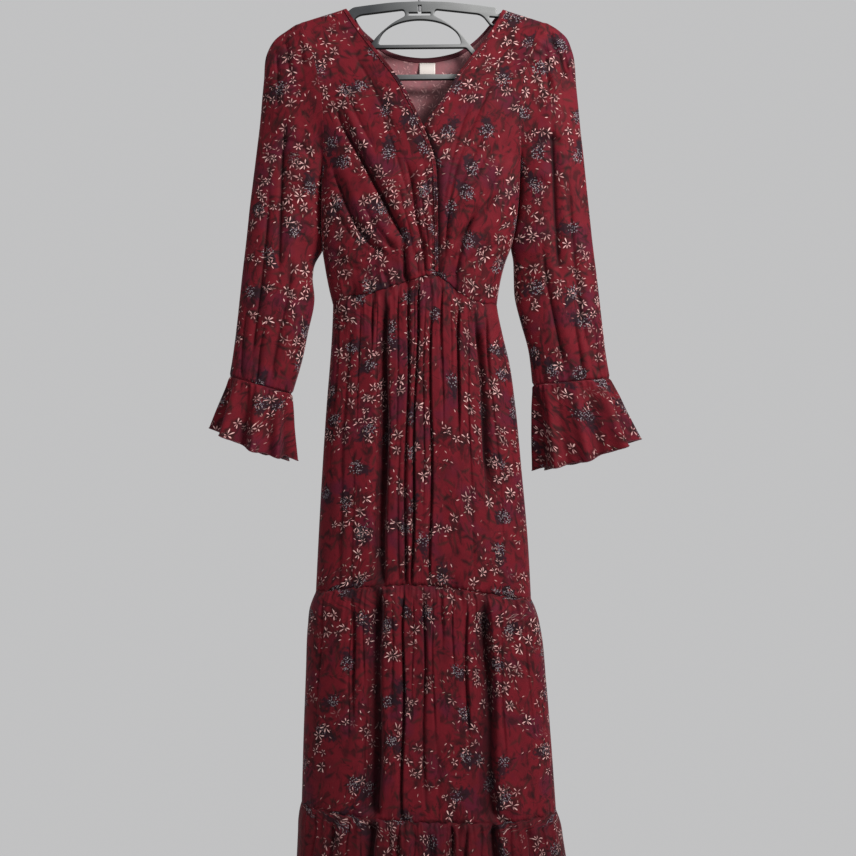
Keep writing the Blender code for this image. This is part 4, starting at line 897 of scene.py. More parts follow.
# ==== Label =====================================================================================
# A small bare satin label, woven white and folded under at its two ends, sewn to the back below
# its neck binding by one row of stitches along the top.
def satin(tree):
    feeds = {"Vector": add_node(tree, "ShaderNodeTexCoord")["Object"], "Scale": 620.0, "Distortion": 0.4}
    ribs = add_node(tree, "ShaderNodeTexWave", feeds, wave_type="BANDS", bands_direction="Z")["Fac"]
    return {"Base Color": laid_over(ribs * 0.45, (0.50, 0.455, 0.43), (0.36, 0.32, 0.295)), "Roughness": 0.42,
            "Normal": raised_by(ribs, 0.25, 0.0001)}


(right, near, low), (left, _, high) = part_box("size_label")
label_share, label_thickness = np.linspace(0.0, 1.0, 21), 0.0006
down = label_share[:, None]
label_y = near + label_thickness + 0.0009 * (label_share - 0.5) ** 2 * down + 0.0004 * np.sin(5 * down + 0.6)
label_grid = np.stack(
    np.broadcast_arrays(between(right, left, label_share), label_y, between(high, low, down)), axis=-1)
label = cloth_shell("neck_label", label_grid, flat_places(label_grid), (0.0, 0.0), 0.0 * label_y)
label.data.materials[0] = label.data.materials[1] = material("white_satin_label", satin)
declared(label, "size_label")
thread_stitches("label_stitches", label_grid[1, 1:-1] - backward * 0.0001, spacing=0.0022, length=0.0015,
                thickness=0.00016)


# ==== Sleeves ===================================================================================
# Long full sleeves, each one piece with a seam under the arm. The head is gathered into the armhole
# and stands up in a small square puff, and the cuff end is sewn to a gathered flounce.
# Rings from the head down: outer x, outer z, inner x, inner z, half depth, middle y, bow
sleeves = {
    "right": table(
        (-188, -119, -140.5, -331, 24.5, 3.5, 13), (-208, -132, -140.4, -345, 25.6, 6, 9.5),
        (-220.5, -151, -141.1, -365, 26.2, 7.5, 5.5), (-226.2, -195, -141.2, -399, 26.2, 9, 1.5),
        (-233, -265, -140.2, -438, 25.8, 9, 0), (-236.2, -293, -150.5, -456, 25.5, 8, 0),
        (-242, -340, -154.5, -475, 25, 6.5, 0), (-250, -415, -152, -512, 24.5, 3.5, 0),
        (-260, -506, -161, -558, 23.7, 1, 0), (-268, -582, -172.5, -608, 23.1, 0, 0),
        (-273.5, -622.5, -185.8, -647.5, 22.8, 0, 0)),
    "left": table(
        (193, -115, 147.6, -321.5, 24.5, 3.5, -13), (211, -127, 146, -336, 25.6, 6, -9.5),
        (222.5, -149, 144.8, -356, 26.2, 7.5, -5.5), (229, -200, 141.3, -392, 26.2, 9, -1.5),
        (235.5, -265, 133.6, -434, 25.8, 9, 0), (238.8, -296, 136.8, -453, 25.5, 8, 0),
        (243, -338, 137.6, -476, 25, 6.5, 0), (251, -418, 139, -508, 24.5, 3.5, 0),
        (261, -502, 147.8, -545, 23.7, 1, 0), (269, -578, 159.5, -588, 23.1, 0, 0),
        (275.5, -625, 166.5, -635, 22.8, 0, 0)),
}
# Creases on the front and on the back of each sleeve: depth, half width, then x and z of each point
sleeve_creases = {
    "right": table(
        (4, 5, -179, -115, -173, -130, -169, -150, -166, -175), (3, 4.5, -195, -125, -190, -150, -186, -185),
        (2.4, 6, -208, -140, -204, -180, -204, -230), (2.6, 7, -153, -315, -165, -295, -180, -285, -198, -282),
        (2.4, 7, -150, -360, -168, -350, -188, -352),
        (4.2, 8.5, -190, -230, -196, -300, -199, -380, -202, -470),
        (3.4, 7, -215, -330, -220, -420, -229, -510, -240, -590),
        (3.2, 6.5, -180, -430, -188, -500, -200, -560, -212, -620),
        (2.6, 5, -248, -520, -254, -570, -256, -625), (2.6, 4.5, -220, -540, -229, -590, -233, -635)),
    "left": table(
        (4.2, 5, 185, -113, 193, -140, 204, -165, 212, -190), (2.6, 4.5, 201, -123, 208, -150, 215, -180),
        (3, 5.5, 180, -130, 183, -170, 188, -215), (2.6, 7, 157, -300, 172, -285, 190, -280, 205, -285),
        (2.4, 7, 154, -350, 170, -342, 188, -348), (4.2, 8.5, 190, -240, 193, -310, 196, -390, 201, -470),
        (3.4, 7, 215, -320, 220, -410, 229, -500, 241, -580),
        (3.2, 6.5, 175, -420, 184, -490, 196, -550, 208, -610), (2.6, 5, 247, -520, 255, -570, 260, -620),
        (2.6, 4.5, 221, -535, 230, -585, 237, -625)),
}
# Flounces below the cuff seams: outer x, outer z, inner x, inner z, half depth, drop of its middle,
# height of its waves
flounces = {
    "right": table(
        (-276.5, -640, -186.2, -664, 25.5, 1.5, 2.2), (-284, -668, -186.7, -696, 29, 4.5, 4.2),
        (-292, -699, -185, -738, 33, 9, 5.8)),
    "left": table(
        (282.5, -643, 167.4, -656, 25.5, 1.5, 2.2), (294, -675, 169.5, -696, 29, 4.5, 4.2),
        (310, -714, 173.5, -753, 33, 8, 5.8)),
}
flounce_waves = 8
sleeve_steps, sleeve_columns, flounce_steps, flounce_columns = 126, 168, 48, 224
# Gathers above and below the cuff seam: number, height, reach and unevenness
cuff_gathers, flounce_gathers = (44, 0.0020, 0.020, 0.9), (40, 0.0030, 0.020, 1.7)
# Where round the sleeve's head its gathers lie, as angles from the shoulder
head_gathers = 0.03, 0.16, 0.27, 0.42, 0.55, 0.66, 0.81, 0.93, 1.08
hem_radius = 0.0007


def ring_points(rings, angle, lift=0.0, drop=0.0):
    """Points of flattened rings: angle 0 at the outer end, pi at the inner one, the front between."""
    outer_x, outer_z, inner_x, inner_z, depth, middle_y, bow = (rings[:, None, column] for column in range(7))
    outer, inner = (np.stack((x, middle_y, z), axis=-1) for x, z in ((outer_x, outer_z), (inner_x, inner_z)))
    depth, bow, lift, drop, angle = (np.asarray(value)[..., None] for value in (depth, bow, lift, drop, angle))
    arm, sine, cosine = (outer - inner) / 2, np.sin(angle), np.cos(angle)
    half = np.linalg.norm(arm, axis=-1, keepdims=True)
    out = depth * cosine * arm / half - half * sine * backward
    out /= np.linalg.norm(out, axis=-1, keepdims=True)
    point = (outer + inner) / 2 + cosine * arm - depth * sine * backward
    return point + sine**2 * (bow * across - drop * up) + lift * out


def ring_angles(count, half, depth):
    """Angles that divide a flattened ring evenly from its inner end on, crowded a little at both ends."""
    fine = np.linspace(0.0, 2 * math.pi, 2001)
    marks = marks_along(np.stack((half * np.cos(fine), depth * np.sin(fine)), axis=1))
    even = np.interp(np.linspace(0.0, marks[-1], count + 1), marks, fine)
    return between(even, np.linspace(0.0, 2 * math.pi, count + 1), 0.2)[None, :-1] + math.pi


def cuff_axis(side):
    """The way up a sleeve at its cuff, square to the cuff seam."""
    outer_x, outer_z, inner_x, inner_z = sleeves[side][-1][:4]
    axis = np.array((inner_z - outer_z, 0.0, outer_x - inner_x))
    return axis / np.linalg.norm(axis) * (1.0 if axis[2] > 0 else -1.0)


def rings_down(steps, crowding, *rings):
    """Rings at many distances down a tube, the distances, and its length."""
    rings = np.array(rings, dtype=float)
    marks = marks_along((rings[:, :2] + rings[:, 2:4]) / 2)
    run = marks[-1] * np.linspace(0.0, 1.0, steps + 1) ** crowding
    return follow(np.column_stack((marks, rings)), run), run[:, None], marks[-1]


def sleeve_surface(side):
    """A sleeve from the armhole to the cuff seam, with its gathered head, its creases and gathers."""
    tip, under_arm, depth, bow = armholes[side]
    rings, run, length = rings_down(sleeve_steps, 1.25, (*tip, *under_arm, depth, 0.0, bow), *sleeves[side])
    angle = ring_angles(sleeve_columns, 0.105, 0.025)
    x, y, z = np.moveaxis(ring_points(rings, angle), -1, 0)
    front = np.sin(angle) > 0
    lift = np.zeros(x.shape)
    for number, place in enumerate(head_gathers):
        height = 0.0052 * (0.8 + 0.35 * math.sin(2.3 * number))
        away = np.abs(2 * math.pi - angle) - place - 0.02 * math.sin(5.0 * number) * np.where(front, 1.0, -1.0)
        fade = np.exp(-run / (0.030 + 0.022 * math.sin(1.9 * number + 0.5)))
        lift += height * smooth_step(run / 0.006) * fade * bell(away / 0.040)
    creases = drape_relief(x, z, sleeve_creases[side])
    behind = drape_relief(x + 0.006, z + 0.012, sleeve_creases[side])
    fine = np.where(front, creases, 0.8 * behind) + ruffled(x, z + 0.4 * y, 0.0014)
    ends = smooth_step(run / 0.015) * smooth_step((length - run) / 0.012)
    lift += smooth_step(np.abs(np.sin(angle)) / 0.30) * ends * fine
    cuff = gathered_relief(angle, length - run, gathers_along(math.pi, 3 * math.pi, *cuff_gathers))
    lift += cuff * smooth_step(run / 0.05)
    grid = ring_points(rings, angle, lift)
    grid[0] = armhole_point(side, angle[0]) + (-across if side == "right" else across) * seam_gap / 2
    grid[-1] += cuff_axis(side) * seam_gap / 2
    # With painted shade in its creases and gathers.
    return grid, fold_shade(1.6 * lift)


def flounce_surface(side):
    """A cuff flounce, waved all round, and longer behind."""
    seam_ring = (*sleeves[side][-1][:5], 0.0, 0.0)
    rings, run, length = rings_down(flounce_steps, 1.1, seam_ring, *flounces[side])
    drop, height, down = rings[:, None, 5], rings[:, None, 6], run / length
    angle = ring_angles(flounce_columns, 0.055, 0.030)
    uneven = flounce_waves * angle + 0.55 * np.sin(3 * angle + 0.6)
    size = 1.0 + 0.35 * np.sin(2 * angle + 0.5) + 0.25 * np.sin(5 * angle + 2.0)
    lift = 1.75 * height * size * (0.85 * np.cos(uneven) + 0.25 * np.cos(2 * uneven + 1.0) * down)
    lift += gathered_relief(angle, run, gathers_along(math.pi, 3 * math.pi, *flounce_gathers))
    grid = ring_points(np.pad(rings[:, :5], ((0, 0), (0, 2))), angle, lift, drop)
    behind = smooth_step((-0.05 - np.sin(angle)) / 0.35)
    grid[..., 2] -= 0.0032 * down * (0.5 + 0.5 * np.cos(uneven + 0.4)) * smooth_step(down / 0.4)
    grid[..., 2] -= 0.0030 * behind * down**2
    grid[0] -= cuff_axis(side) * seam_gap / 2
    # Painted shade in its waves, and a dark painted shadow along the last few millimetres of its back's hem.
    return grid, np.maximum(0.40 * fold_shade(1.1 * lift), 0.85 * behind * smooth_step((down - 0.93) / 0.04))


def sleeve_flat_places(grid, axis):
    """Flat places on a sleeve, opened along its underarm seam: round its flattened tube, and along it."""
    whole = closed_round(grid)
    middle = whole.shape[1] // 2
    along, sideways = whole @ axis, whole @ np.cross(axis, backward)
    outer, inner = (np.interp(along, along[::-1, column], sideways[::-1, column]) for column in (middle, 0))
    centre, half = (outer + inner) / 2, (outer - inner) / 2
    fine = np.sin(np.linspace(0.0, math.pi / 2, 201))
    arc = marks_along(np.stack((fine, 0.5 * np.sqrt(1.0 - fine**2)), axis=1))
    share = np.clip((sideways - centre) / half, -1.0, 1.0)
    round_way = np.sign(share) * np.interp(np.abs(share), fine, arc)
    behind = np.arange(whole.shape[1]) < middle
    return centre + half * np.where(behind, 2 * arc[-1] - round_way, round_way), along


def rolled_hem(name, grid, closed, sides=7):
    """A narrow rolled hem: a thin soft roll along a grid's last line of points."""
    line = grid[-1] + up * 0.0004
    around = np.roll(line, -1, axis=0) - np.roll(line, 1, axis=0) if closed else np.gradient(line, axis=0)
    around /= np.linalg.norm(around, axis=1)[:, None]
    out = np.cross(around, up)
    out /= np.linalg.norm(out, axis=1)[:, None]
    rise = np.cross(out, around)
    turns = (2 * math.pi * np.arange(sides) / sides)[:, None]
    radius = hem_radius * (1.0 + 0.12 * np.sin(np.arange(len(line)) * 1.9))[:, None, None]
    ring = line[:, None] + radius * (np.cos(turns) * out[:, None] + np.sin(turns) * rise[:, None])
    faces = quads(len(line), sides, closed, True).tolist()
    if not closed:
        faces += [list(range(start, start + sides)) for start in (0, (len(line) - 1) * sides)]
    mesh = mesh_of(name, ring, faces)
    mended(mesh, False, True)
    return declared(finished(name, mesh, binding_cloth))


for side, origin, flounce_cut in (
        ("right", (0.40, 1.20), (0.360, 0.090)), ("left", (0.95, 1.20), (0.420, 0.105))):
    grid, shade = sleeve_surface(side)
    sleeve = cloth_shell("sleeve_" + side + "_chiffon", grid, sleeve_flat_places(grid, cuff_axis(side)), origin,
                         shade, closed=True, turned=side == "left")
    declared(sleeve, "sleeve_" + side)
    grid, shade = flounce_surface(side)
    flounce = cloth_shell("flounce_" + side, grid, flat_places(closed_round(grid)), (origin[0] + 0.11, 0.62),
                          shade, closed=True, turned=side == "left")
    hem_roll = rolled_hem("flounce_hem_" + side, grid, True)
    declared(flounce, "cuff_flounce_" + side)


# ==== Skirt =====================================================================================
# Three tiers, each wider than the one above and gathered into it, cut as a front and a back. Under
# each seam the cloth stands out in small uneven gathers that run on into long soft hanging folds.
# Sections down each tier: share of the drop, right x, left x, front depth, back depth
upper_tier = table(
    (0, -124.7, 112.9, 35, 25), (20, -124.9, 114.1, 36.2, 26), (100, -126.2, 121.2, 38.5, 29),
    (200, -129, 131.2, 41, 32), (320, -133.1, 138.5, 43.5, 34.5), (570, -140.1, 149, 48, 38.5),
    (820, -145.9, 158.3, 52, 41.5), (1000, -149.6, 162.4, 54, 43)
)
middle_tier = table(
    (0, -149.6, 162.4, 54, 43), (30, -153.5, 166.8, 58.5, 46.5), (70, -157.8, 171.2, 62, 49),
    (160, -161.2, 177.2, 63.7, 50.5), (380, -164, 184, 65.5, 52.5), (700, -167.5, 192, 68, 54.5),
    (1000, -170, 198.5, 70, 56)
)
lower_tier = table(
    (0, -170, 198.5, 70, 56), (60, -172.4, 201.8, 73.8, 58.8), (150, -174.5, 205.5, 76.8, 61.2),
    (320, -175.6, 209, 78.7, 63), (600, -177.5, 215, 80.5, 64.5), (1000, -182.6, 223.5, 83, 66.5)
)
# Heights of the seams and the hem: x, front z, back z
middle_seam = table(
    (-149.6, -933, -933), (-100, -925.5, -931), (6, -920, -930), (100, -932.5, -937), (162.4, -945, -945)
)
lower_seam = table(
    (-170, -1237, -1237), (-90, -1244, -1240), (10, -1250, -1243), (110, -1252, -1247), (198.5, -1250, -1250)
)
hem = table(
    (-182.6, -1378, -1378), (-90, -1385, -1381), (10, -1390, -1384), (120, -1390, -1385), (223.5, -1384, -1384)
)
# Long folds: x at the tier's top, x at its bottom, share where it starts, share where it ends,
# depth, half width
upper_front_folds = table(
    (-98, -115, 100, 950, 2.6, 10), (-66, -70, 0, 140, 7, 5.6), (-45.5, -50, 20, 1000, 11.4, 10.5),
    (-15.3, -21, 0, 1000, 8, 5.2), (0.3, -10, 0, 1000, 7.8, 4.8), (18.8, 17, 80, 980, 6.6, 5.2),
    (58.5, 53, 30, 460, 7, 5.8), (79.6, 110, 50, 620, 10.8, 9)
)
middle_front_folds = table(
    (-92.5, -90, 40, 520, 5.8, 8), (-54.5, -59, 0, 1000, 13, 14), (-20.5, -22.5, 0, 1000, 8.8, 5.6),
    (6.5, 7.5, 0, 860, 6.2, 5.4), (32, 36, 20, 220, 3.4, 8), (68, 70, 40, 580, 6.2, 8),
    (96, 108.5, 20, 1000, 12.6, 13.5), (133, 140, 20, 200, 4, 9)
)
lower_front_folds = table(
    (-120, -128, 50, 1000, 6, 11), (-62.5, -68, 0, 1000, 12.4, 12.5), (-26, -28, 50, 1000, 8, 10),
    (14, 15, 50, 1000, 5, 9), (47, 49, 0, 1000, 10, 9.5), (67, 71, 20, 1000, 8.6, 9),
    (108, 116, 0, 1000, 12, 12.5), (152, 163, 50, 1000, 6.4, 11.5)
)
upper_back_folds = table(
    (-85, -98, 20, 900, 6, 11.5), (-45, -50, 20, 1000, 7.8, 12), (-5, -8, 20, 950, 6.6, 11),
    (38, 44, 20, 1000, 7.8, 12), (78, 96, 20, 900, 6, 11.5)
)
middle_back_folds = table(
    (-102, -110, 30, 1000, 7.2, 13.5), (-48, -50, 30, 1000, 8.4, 13), (2, 5, 30, 1000, 7.2, 13),
    (56, 60, 30, 1000, 8.4, 13), (112, 122, 30, 1000, 7.2, 13.5)
)
lower_back_folds = table(
    (-112, -118, 50, 1000, 7.2, 14), (-50, -52, 50, 1000, 8.4, 14), (8, 9, 50, 1000, 7.8, 14),
    (68, 72, 50, 1000, 8.4, 14), (132, 142, 50, 1000, 7.2, 14)
)
upper_front_creases = table(
    (-113, -134, 20, 600, 1.6, 6), (-83, -92, 20, 420, 1.8, 4.8), (-58, -64, 0, 380, 2, 3.6),
    (-31, -35, 20, 520, 2.2, 3.8), (-6, -14, 0, 300, 1.8, 3), (10, 4, 50, 700, 2.2, 3.6),
    (34, 33, 0, 450, 2.6, 4), (45, 42, 20, 280, 2, 3.2), (69, 78, 20, 600, 2.2, 4.5), (95, 128, 40, 800, 2, 6),
    (-25, -29, 450, 1000, 2, 5.5), (70, 76, 550, 1000, 1.8, 6), (-90, -96, 500, 1000, 1.6, 7),
    (33, 32, 0, 300, 3.4, 4), (-29, -30, 0, 100, 4, 3.6), (96, 105, 0, 220, 3.6, 4),
    (-85, 270, 500, 620, 2.6, 6), (-56, -60, 350, 950, 2.2, 5)
)
middle_front_creases = table(
    (-136, -150, 0, 550, 2.2, 5.5), (-95, -103, 0, 620, 2.6, 5), (-76, -81, 0, 400, 2.4, 4.2),
    (-38, -41, 0, 520, 2.6, 4.2), (-8, -8, 0, 480, 2.6, 4), (20, 23, 0, 600, 2.4, 4.2),
    (48, 52, 0, 360, 2.6, 4.2), (80, 84, 0, 450, 2.6, 4.4), (115, 125, 0, 700, 2.4, 5.5),
    (150, 170, 0, 620, 2, 5.5), (-70, -78, 350, 1000, 2.2, 7), (24, 26, 620, 1000, 1.8, 6.5),
    (82, 88, 500, 1000, 2, 7)
)
lower_front_creases = table(
    (-145, -156, 0, 800, 2.6, 6), (-98, -104, 0, 700, 2.6, 5.5), (-80, -85, 0, 500, 2.4, 4.5),
    (-42, -44, 0, 800, 2.6, 4.5), (-6, -6, 0, 600, 2.4, 4.2), (24, 26, 0, 750, 2.6, 4.5),
    (40, 42, 0, 450, 2.4, 4.2), (54, 57, 0, 620, 2.2, 4.2), (87, 92, 0, 600, 2.6, 5),
    (129, 139, 0, 800, 2.6, 5.5), (174, 190, 0, 800, 2.2, 5.5)
)
back_creases_of = {
    "upper": table(
        (-65, -74, 0, 600, 2, 5.5), (-25, -29, 0, 450, 2.2, 4.5), (17, 18, 0, 550, 2.2, 5),
        (57, 68, 0, 500, 2, 5.5), (-105, -122, 50, 800, 1.8, 7), (95, 126, 50, 800, 1.8, 7)),
    "middle": table(
        (-128, -140, 0, 600, 2.2, 6), (-76, -80, 0, 600, 2.4, 5.5), (-22, -22, 0, 500, 2.4, 5),
        (29, 32, 0, 600, 2.4, 5), (84, 91, 0, 500, 2.4, 5.5), (140, 156, 0, 600, 2.2, 6)),
    "lower": table(
        (-140, -148, 0, 800, 2.4, 6), (-80, -85, 0, 700, 2.4, 5.5), (-20, -21, 0, 600, 2.4, 5),
        (38, 40, 0, 800, 2.4, 5.5), (100, 107, 0, 700, 2.4, 5.5), (160, 172, 0, 800, 2.2, 6)),
}


def even_places(count, half_width, depth):
    """Values of c that cut a section's curve into steps of equal length."""
    fine = -np.cos(np.linspace(0.0, math.pi, 1601))
    marks = marks_along(np.stack((half_width * fine, depth * section_share(fine, side_curve)), axis=1))
    return np.interp(np.linspace(0.0, marks[-1], count + 1), marks, fine)


def hanging_folds(x, share, folds):
    """Relief of long hanging folds, steep on one side and soft on the other, and the painted shade along each.
    """
    relief, dark = np.zeros_like(x), np.zeros_like(x)
    for number, (top, bottom, start, end, depth, width) in enumerate(folds):
        ending = smooth_step((end + 0.12 - share) / 0.22)
        swelling = 1.0 + 0.18 * np.sin(7.0 * share + 2.1 * number)
        strength = smooth_step((share - start) / 0.10) * ending * swelling
        wander = 0.0016 * np.sin(9.0 * share + 1.7 * number) * smooth_step(share / 0.2)
        broad = smooth_step((depth - 0.0090) / 0.0030)
        off = (x - between(top, bottom, share) - wander) * (-1.0 if number % 4 == 3 else 1.0)
        away = off / ((0.56 + 0.42 * broad) * width * (0.80 + 0.35 * share))
        relief -= (0.95 + 0.35 * broad) * depth * strength * bell(away / np.where(away > 0, 0.36, 1.10))
        # Painted shade: a narrow dark line on the steep side of each fold, a wider soft one on the other.
        soft_reach = between(0.0022, 1.15 * width, broad) * (0.40 + 0.85 * share)
        reach = np.where(off > 0, 0.0013 + 0.0012 * broad, soft_reach)
        lasting = smooth_step((share - start + 0.05) / 0.06) * ending * (1.3 if end == 1.0 else 1.0)
        varied = np.minimum(1.0, (0.86 + 0.24 * np.sin(11.0 * share + 1.3 * number)) * lasting)
        level = min(0.94, depth / 0.0088) * (0.55 if depth < 0.0040 else 1.0) * varied
        dark = both_dark(dark, level * bell(off / reach))
    return relief, dark


def tier_panel(tier, top_seam, bottom_seam, folds, creases, gathers, fine_gathers, size, front, painted_tier_shade):
    """One panel of a tier: rows down its drop, columns from the right seam to the left one."""
    facing, face = (-1.0, 0) if front else (1.0, 1)
    right, left, *depths = follow(tier, 0.5)
    c = even_places(size[0], (left - right) / 2, depths[face])[None, :]
    share = np.linspace(0.0, 1.0, size[1] + 1)[:, None] ** 1.45
    right, left, *depths = np.moveaxis(follow(tier, share), -1, 0)
    half = (left - right) / 2
    depth = facing * depths[face] * section_share(c, side_curve)
    base = np.stack(((right + left) / 2 + half * c, depth), axis=-1)
    slope = facing * np.gradient(base, axis=1)
    normals = np.stack((-slope[..., 1], slope[..., 0]), axis=-1)
    normals /= np.linalg.norm(normals, axis=-1, keepdims=True)
    top_x, bottom_x = (between(line[1], line[2], (1.0 + c) / 2) for line in (tier[0], tier[-1]))
    top_z = seam_height(top_seam, top_x)[..., face]
    fall = top_z - seam_height(bottom_seam, bottom_x)[..., face]
    x, drop = base[..., 0], fall * share
    z, above = top_z - drop, fall - drop
    under_waist, hemmed = top_seam is waist_seam, bottom_seam is hem
    beside = smooth_step((1.0 - np.abs(c)) * half / 0.014)
    calm = beside * (1.0 if hemmed else smooth_step(above / 0.010))
    (relief, dark), (crease_relief, crease_dark) = (hanging_folds(x, share, rows) for rows in (folds, creases))
    gathered = gathered_relief(top_x, drop, gathers) + gathered_relief(top_x, drop, fine_gathers)
    relief += crease_relief + gathered * (smooth_step(drop / 0.016) if under_waist else 1.0)
    if not hemmed:
        drawn_in = np.sin(1150 * bottom_x + 3.0 * np.sin(170 * bottom_x)) * np.exp(-above / 0.007)
        relief += 0.0008 * drawn_in * smooth_step(above / 0.003) / np.maximum(calm, 0.2)
    relief += ruffled(x, z * 0.45, 0.0013, 1.3) * smooth_step(drop / 0.03)
    # Painted shade: in the folds and creases, just under the seam above, and over the whole of a dimmer tier.
    for shadow in (crease_dark, 0.35 * fold_shade(calm * relief), painted_tier_shade, 0.20 * bell(drop / 0.010)):
        dark = both_dark(dark, shadow)
    relief = calm * relief
    if not under_waist:
        relief += beside * seam_wave(top_x) * bell(drop / 0.016)
    elif front:
        relief += beside * waist_pinched(top_x, 0.0)[0] * bell(drop / 0.018)
    if not hemmed:
        relief += beside * seam_wave(bottom_x) * bell(above / 0.016)
    grid = np.concatenate((base + normals * relief[..., None], z[..., None]), axis=-1)
    grid[:, [0, -1]] += facing * backward * seam_gap / 2
    grid[0] += up * 0.0006
    grid[0, :, :2] -= normals[0] * beside[0, :, None] * (0.0001 if under_waist else 0.00025)
    return grid, between(painted_tier_shade, dark, beside)


fine_reach = 0.022
# Each tier's sections, the seams above and below it, what carries it and how much painted shade lies over all
# of it
tiers = {
    "upper": (upper_tier, waist_seam, middle_seam, "back_bodice", 0.02),
    "middle": (middle_tier, middle_seam, lower_seam, "skirt_upper_", 0.05),
    "lower": (lower_tier, lower_seam, hem, "skirt_middle_", 0.36),
}
# Panels: tier and face, folds, creases; number, height, reach and unevenness of its gathers; number
# and height of the fine ones; divisions; flat size; where on the cloth it was cut
for level, face, folds, creases, (*gathers, turn), (fine_count, fine_height), size, flat, origin in (
        ("upper", "front", upper_front_folds, upper_front_creases, (16, 0.0028, 0.060, 0.0), (44, 0.0026),
         (320, 96), (0.42, 0.46), (0.30, 3.10)),
        ("upper", "back", upper_back_folds, back_creases_of["upper"], (9, 0.0028, 0.070, 1.0), (42, 0.0024),
         (200, 72), (0.39, 0.43), (0.92, 3.10)),
        ("middle", "front", middle_front_folds, middle_front_creases, (18, 0.0032, 0.045, 2.0), (54, 0.0030),
         (350, 84), (0.54, 0.33), (0.30, 3.80)),
        ("middle", "back", middle_back_folds, back_creases_of["middle"], (10, 0.0032, 0.055, 3.0), (50, 0.0028),
         (210, 62), (0.50, 0.32), (0.96, 3.80)),
        ("lower", "front", lower_front_folds, lower_front_creases, (20, 0.0035, 0.050, 4.0), (62, 0.0032),
         (350, 48), (0.62, 0.145), (0.36, 4.30)),
        ("lower", "back", lower_back_folds, back_creases_of["lower"], (11, 0.0035, 0.060, 5.0), (58, 0.0030),
         (210, 40), (0.58, 0.145), (1.12, 4.30))):
    tier, top_seam, bottom_seam, carrier, painted_tier_shade = tiers[level]
    _, right, left, _, _ = tier[0]
    gathers = gathers_along(right, left, *gathers, turn)
    fine_gathers = gathers_along(right, left, fine_count, fine_height, fine_reach, turn + 0.8)
    grid, shade = tier_panel(tier, top_seam, bottom_seam, folds, creases, gathers, fine_gathers, size,
                             face == "front", painted_tier_shade)
    name = level + "_tier_" + face
    panel = cloth_shell(name, grid, flat_places(grid), origin, shade, turned=face == "back")
    hem_rolls = [rolled_hem(name + "_hem", grid, False)] if bottom_seam is hem else []
    declared(panel, "skirt_" + level + "_" + face)
    carrier + face if carrier.endswith("_") else carrier


# ==== Hanger ====================================================================================
# A flat moulded frame of dark grey plastic with softened edges, and a swivelling hook of bright
# steel wire set in its neck. The hook's inner top is where a rod carries the whole.
# Corners of the frame's outline from the middle outwards, its two top edges first: x, z, radius
frame_top_left = table(
    (0, -78.5, 0), (40, -79.7, 12), (76, -83.8, 10), (111, -88.9, 1), (111.7, -97.5, 2), (120.5, -99.5, 2),
    (121.2, -96.3, 1)
)
frame_top_right = table(
    (0, -78.5, 0), (40, -79.7, 12), (76, -83.8, 10), (97, -86.6, 5), (105, -93.5, 4), (113.5, -95.7, 1),
    (114, -99.5, 2), (121.5, -100.5, 2), (122, -96.7, 1)
)
frame_edge = table(
    (165, -111.2, 8), (180, -118.7, 6), (192, -126, 6), (190, -137.5, 6), (165, -128, 8), (123, -116, 6),
    (104, -116.5, 6), (90, -98.5, 8), (56, -94.5, 8), (22.5, -90.7, 5), (20.5, -99.5, 4), (40, -109.5, 10),
    (60, -126, 10), (76.1, -146.2, 8), (111, -187, 8), (106, -192.6, 4)
)
lower_opening = table((67, -146.9, 3), (99, -184.6, 3))
stem_window = table((2.4, -84.7, 0), (2.4, -95.2, 0), (15.8, -95.2, 1), (15.8, -99.2, 1))
strap_hole = table((100.5, -101.8, 2), (115, -103, 2), (114, -112.2, 4), (105.5, -113.2, 4))
hanger_thickness, hanger_bevel, hanger_tilt = 0.0072, 0.0016, math.radians(-0.5)
arch_half_width, arch_base, arch_height, arch_corner = 0.0595, -0.1413, 0.0357, 0.002
hook_wire, hook_radius = 0.0036, 0.0218
# Middle line of the hook's stem: x, z
hook_stem = table((0, -92.5), (0, -75), (0, -60), (0.8, -54.5), (3.5, -48.5), (8, -42.5))


def softened(corners, steps=6):
    """A closed outline through corners, each turned into a short arc."""
    places, outline = np.array(corners)[:, :2], []
    for (*_, radius), here, before, after in zip(
            corners, places, np.roll(places, 1, axis=0), np.roll(places, -1, axis=0)):
        reach = min(radius, 0.45 * np.linalg.norm(before - here), 0.45 * np.linalg.norm(after - here))
        start, end = (here + (way - here) * reach / np.linalg.norm(way - here) for way in (before, after))
        for t in np.linspace(0.0, 1.0, steps + 1) if radius else (0.0,):
            outline.append((1 - t) ** 2 * start + 2 * t * (1 - t) * here + t**2 * end)
    return outline


def mirrored(half, other=None):
    """Half an outline with its mirror image, or with that of another half."""
    return half + [row * (-1.0, 1.0, 1.0) for row in reversed(other or half) if row[0] > 0.0]


def curve_to_piece(name, node, curve, turned, finish):
    """Makes a drawn curve a plain mesh at its place in the hanger, and gives it its finish."""
    drawn = placed(name + "_drawn", curve)
    mesh = evaluated(drawn)
    bpy.data.objects.remove(drawn)
    mesh.name = name
    mesh.transform(mathutils.Matrix.Rotation(hanger_tilt, 4, "Y") @ turned)
    mended(mesh, True, True)
    piece = finished(name, mesh, finish)
    mesh.set_sharp_from_angle(angle=math.radians(38))
    declared(piece, node)


def drawn_curve(name, **settings):
    """A new curve with its settings."""
    made = bpy.data.curves.new(name, "CURVE")
    for setting, value in settings.items():
        setattr(made, setting, value)
    return made


def draw_line(curve, points, radii):
    """Adds a line of points to a curve."""
    spline = curve.splines.new("POLY")
    spline.points.add(len(points) - 1)
    for point, place, radius in zip(spline.points, points, radii):
        point.co, point.radius = (*place, 1.0), radius
    return spline


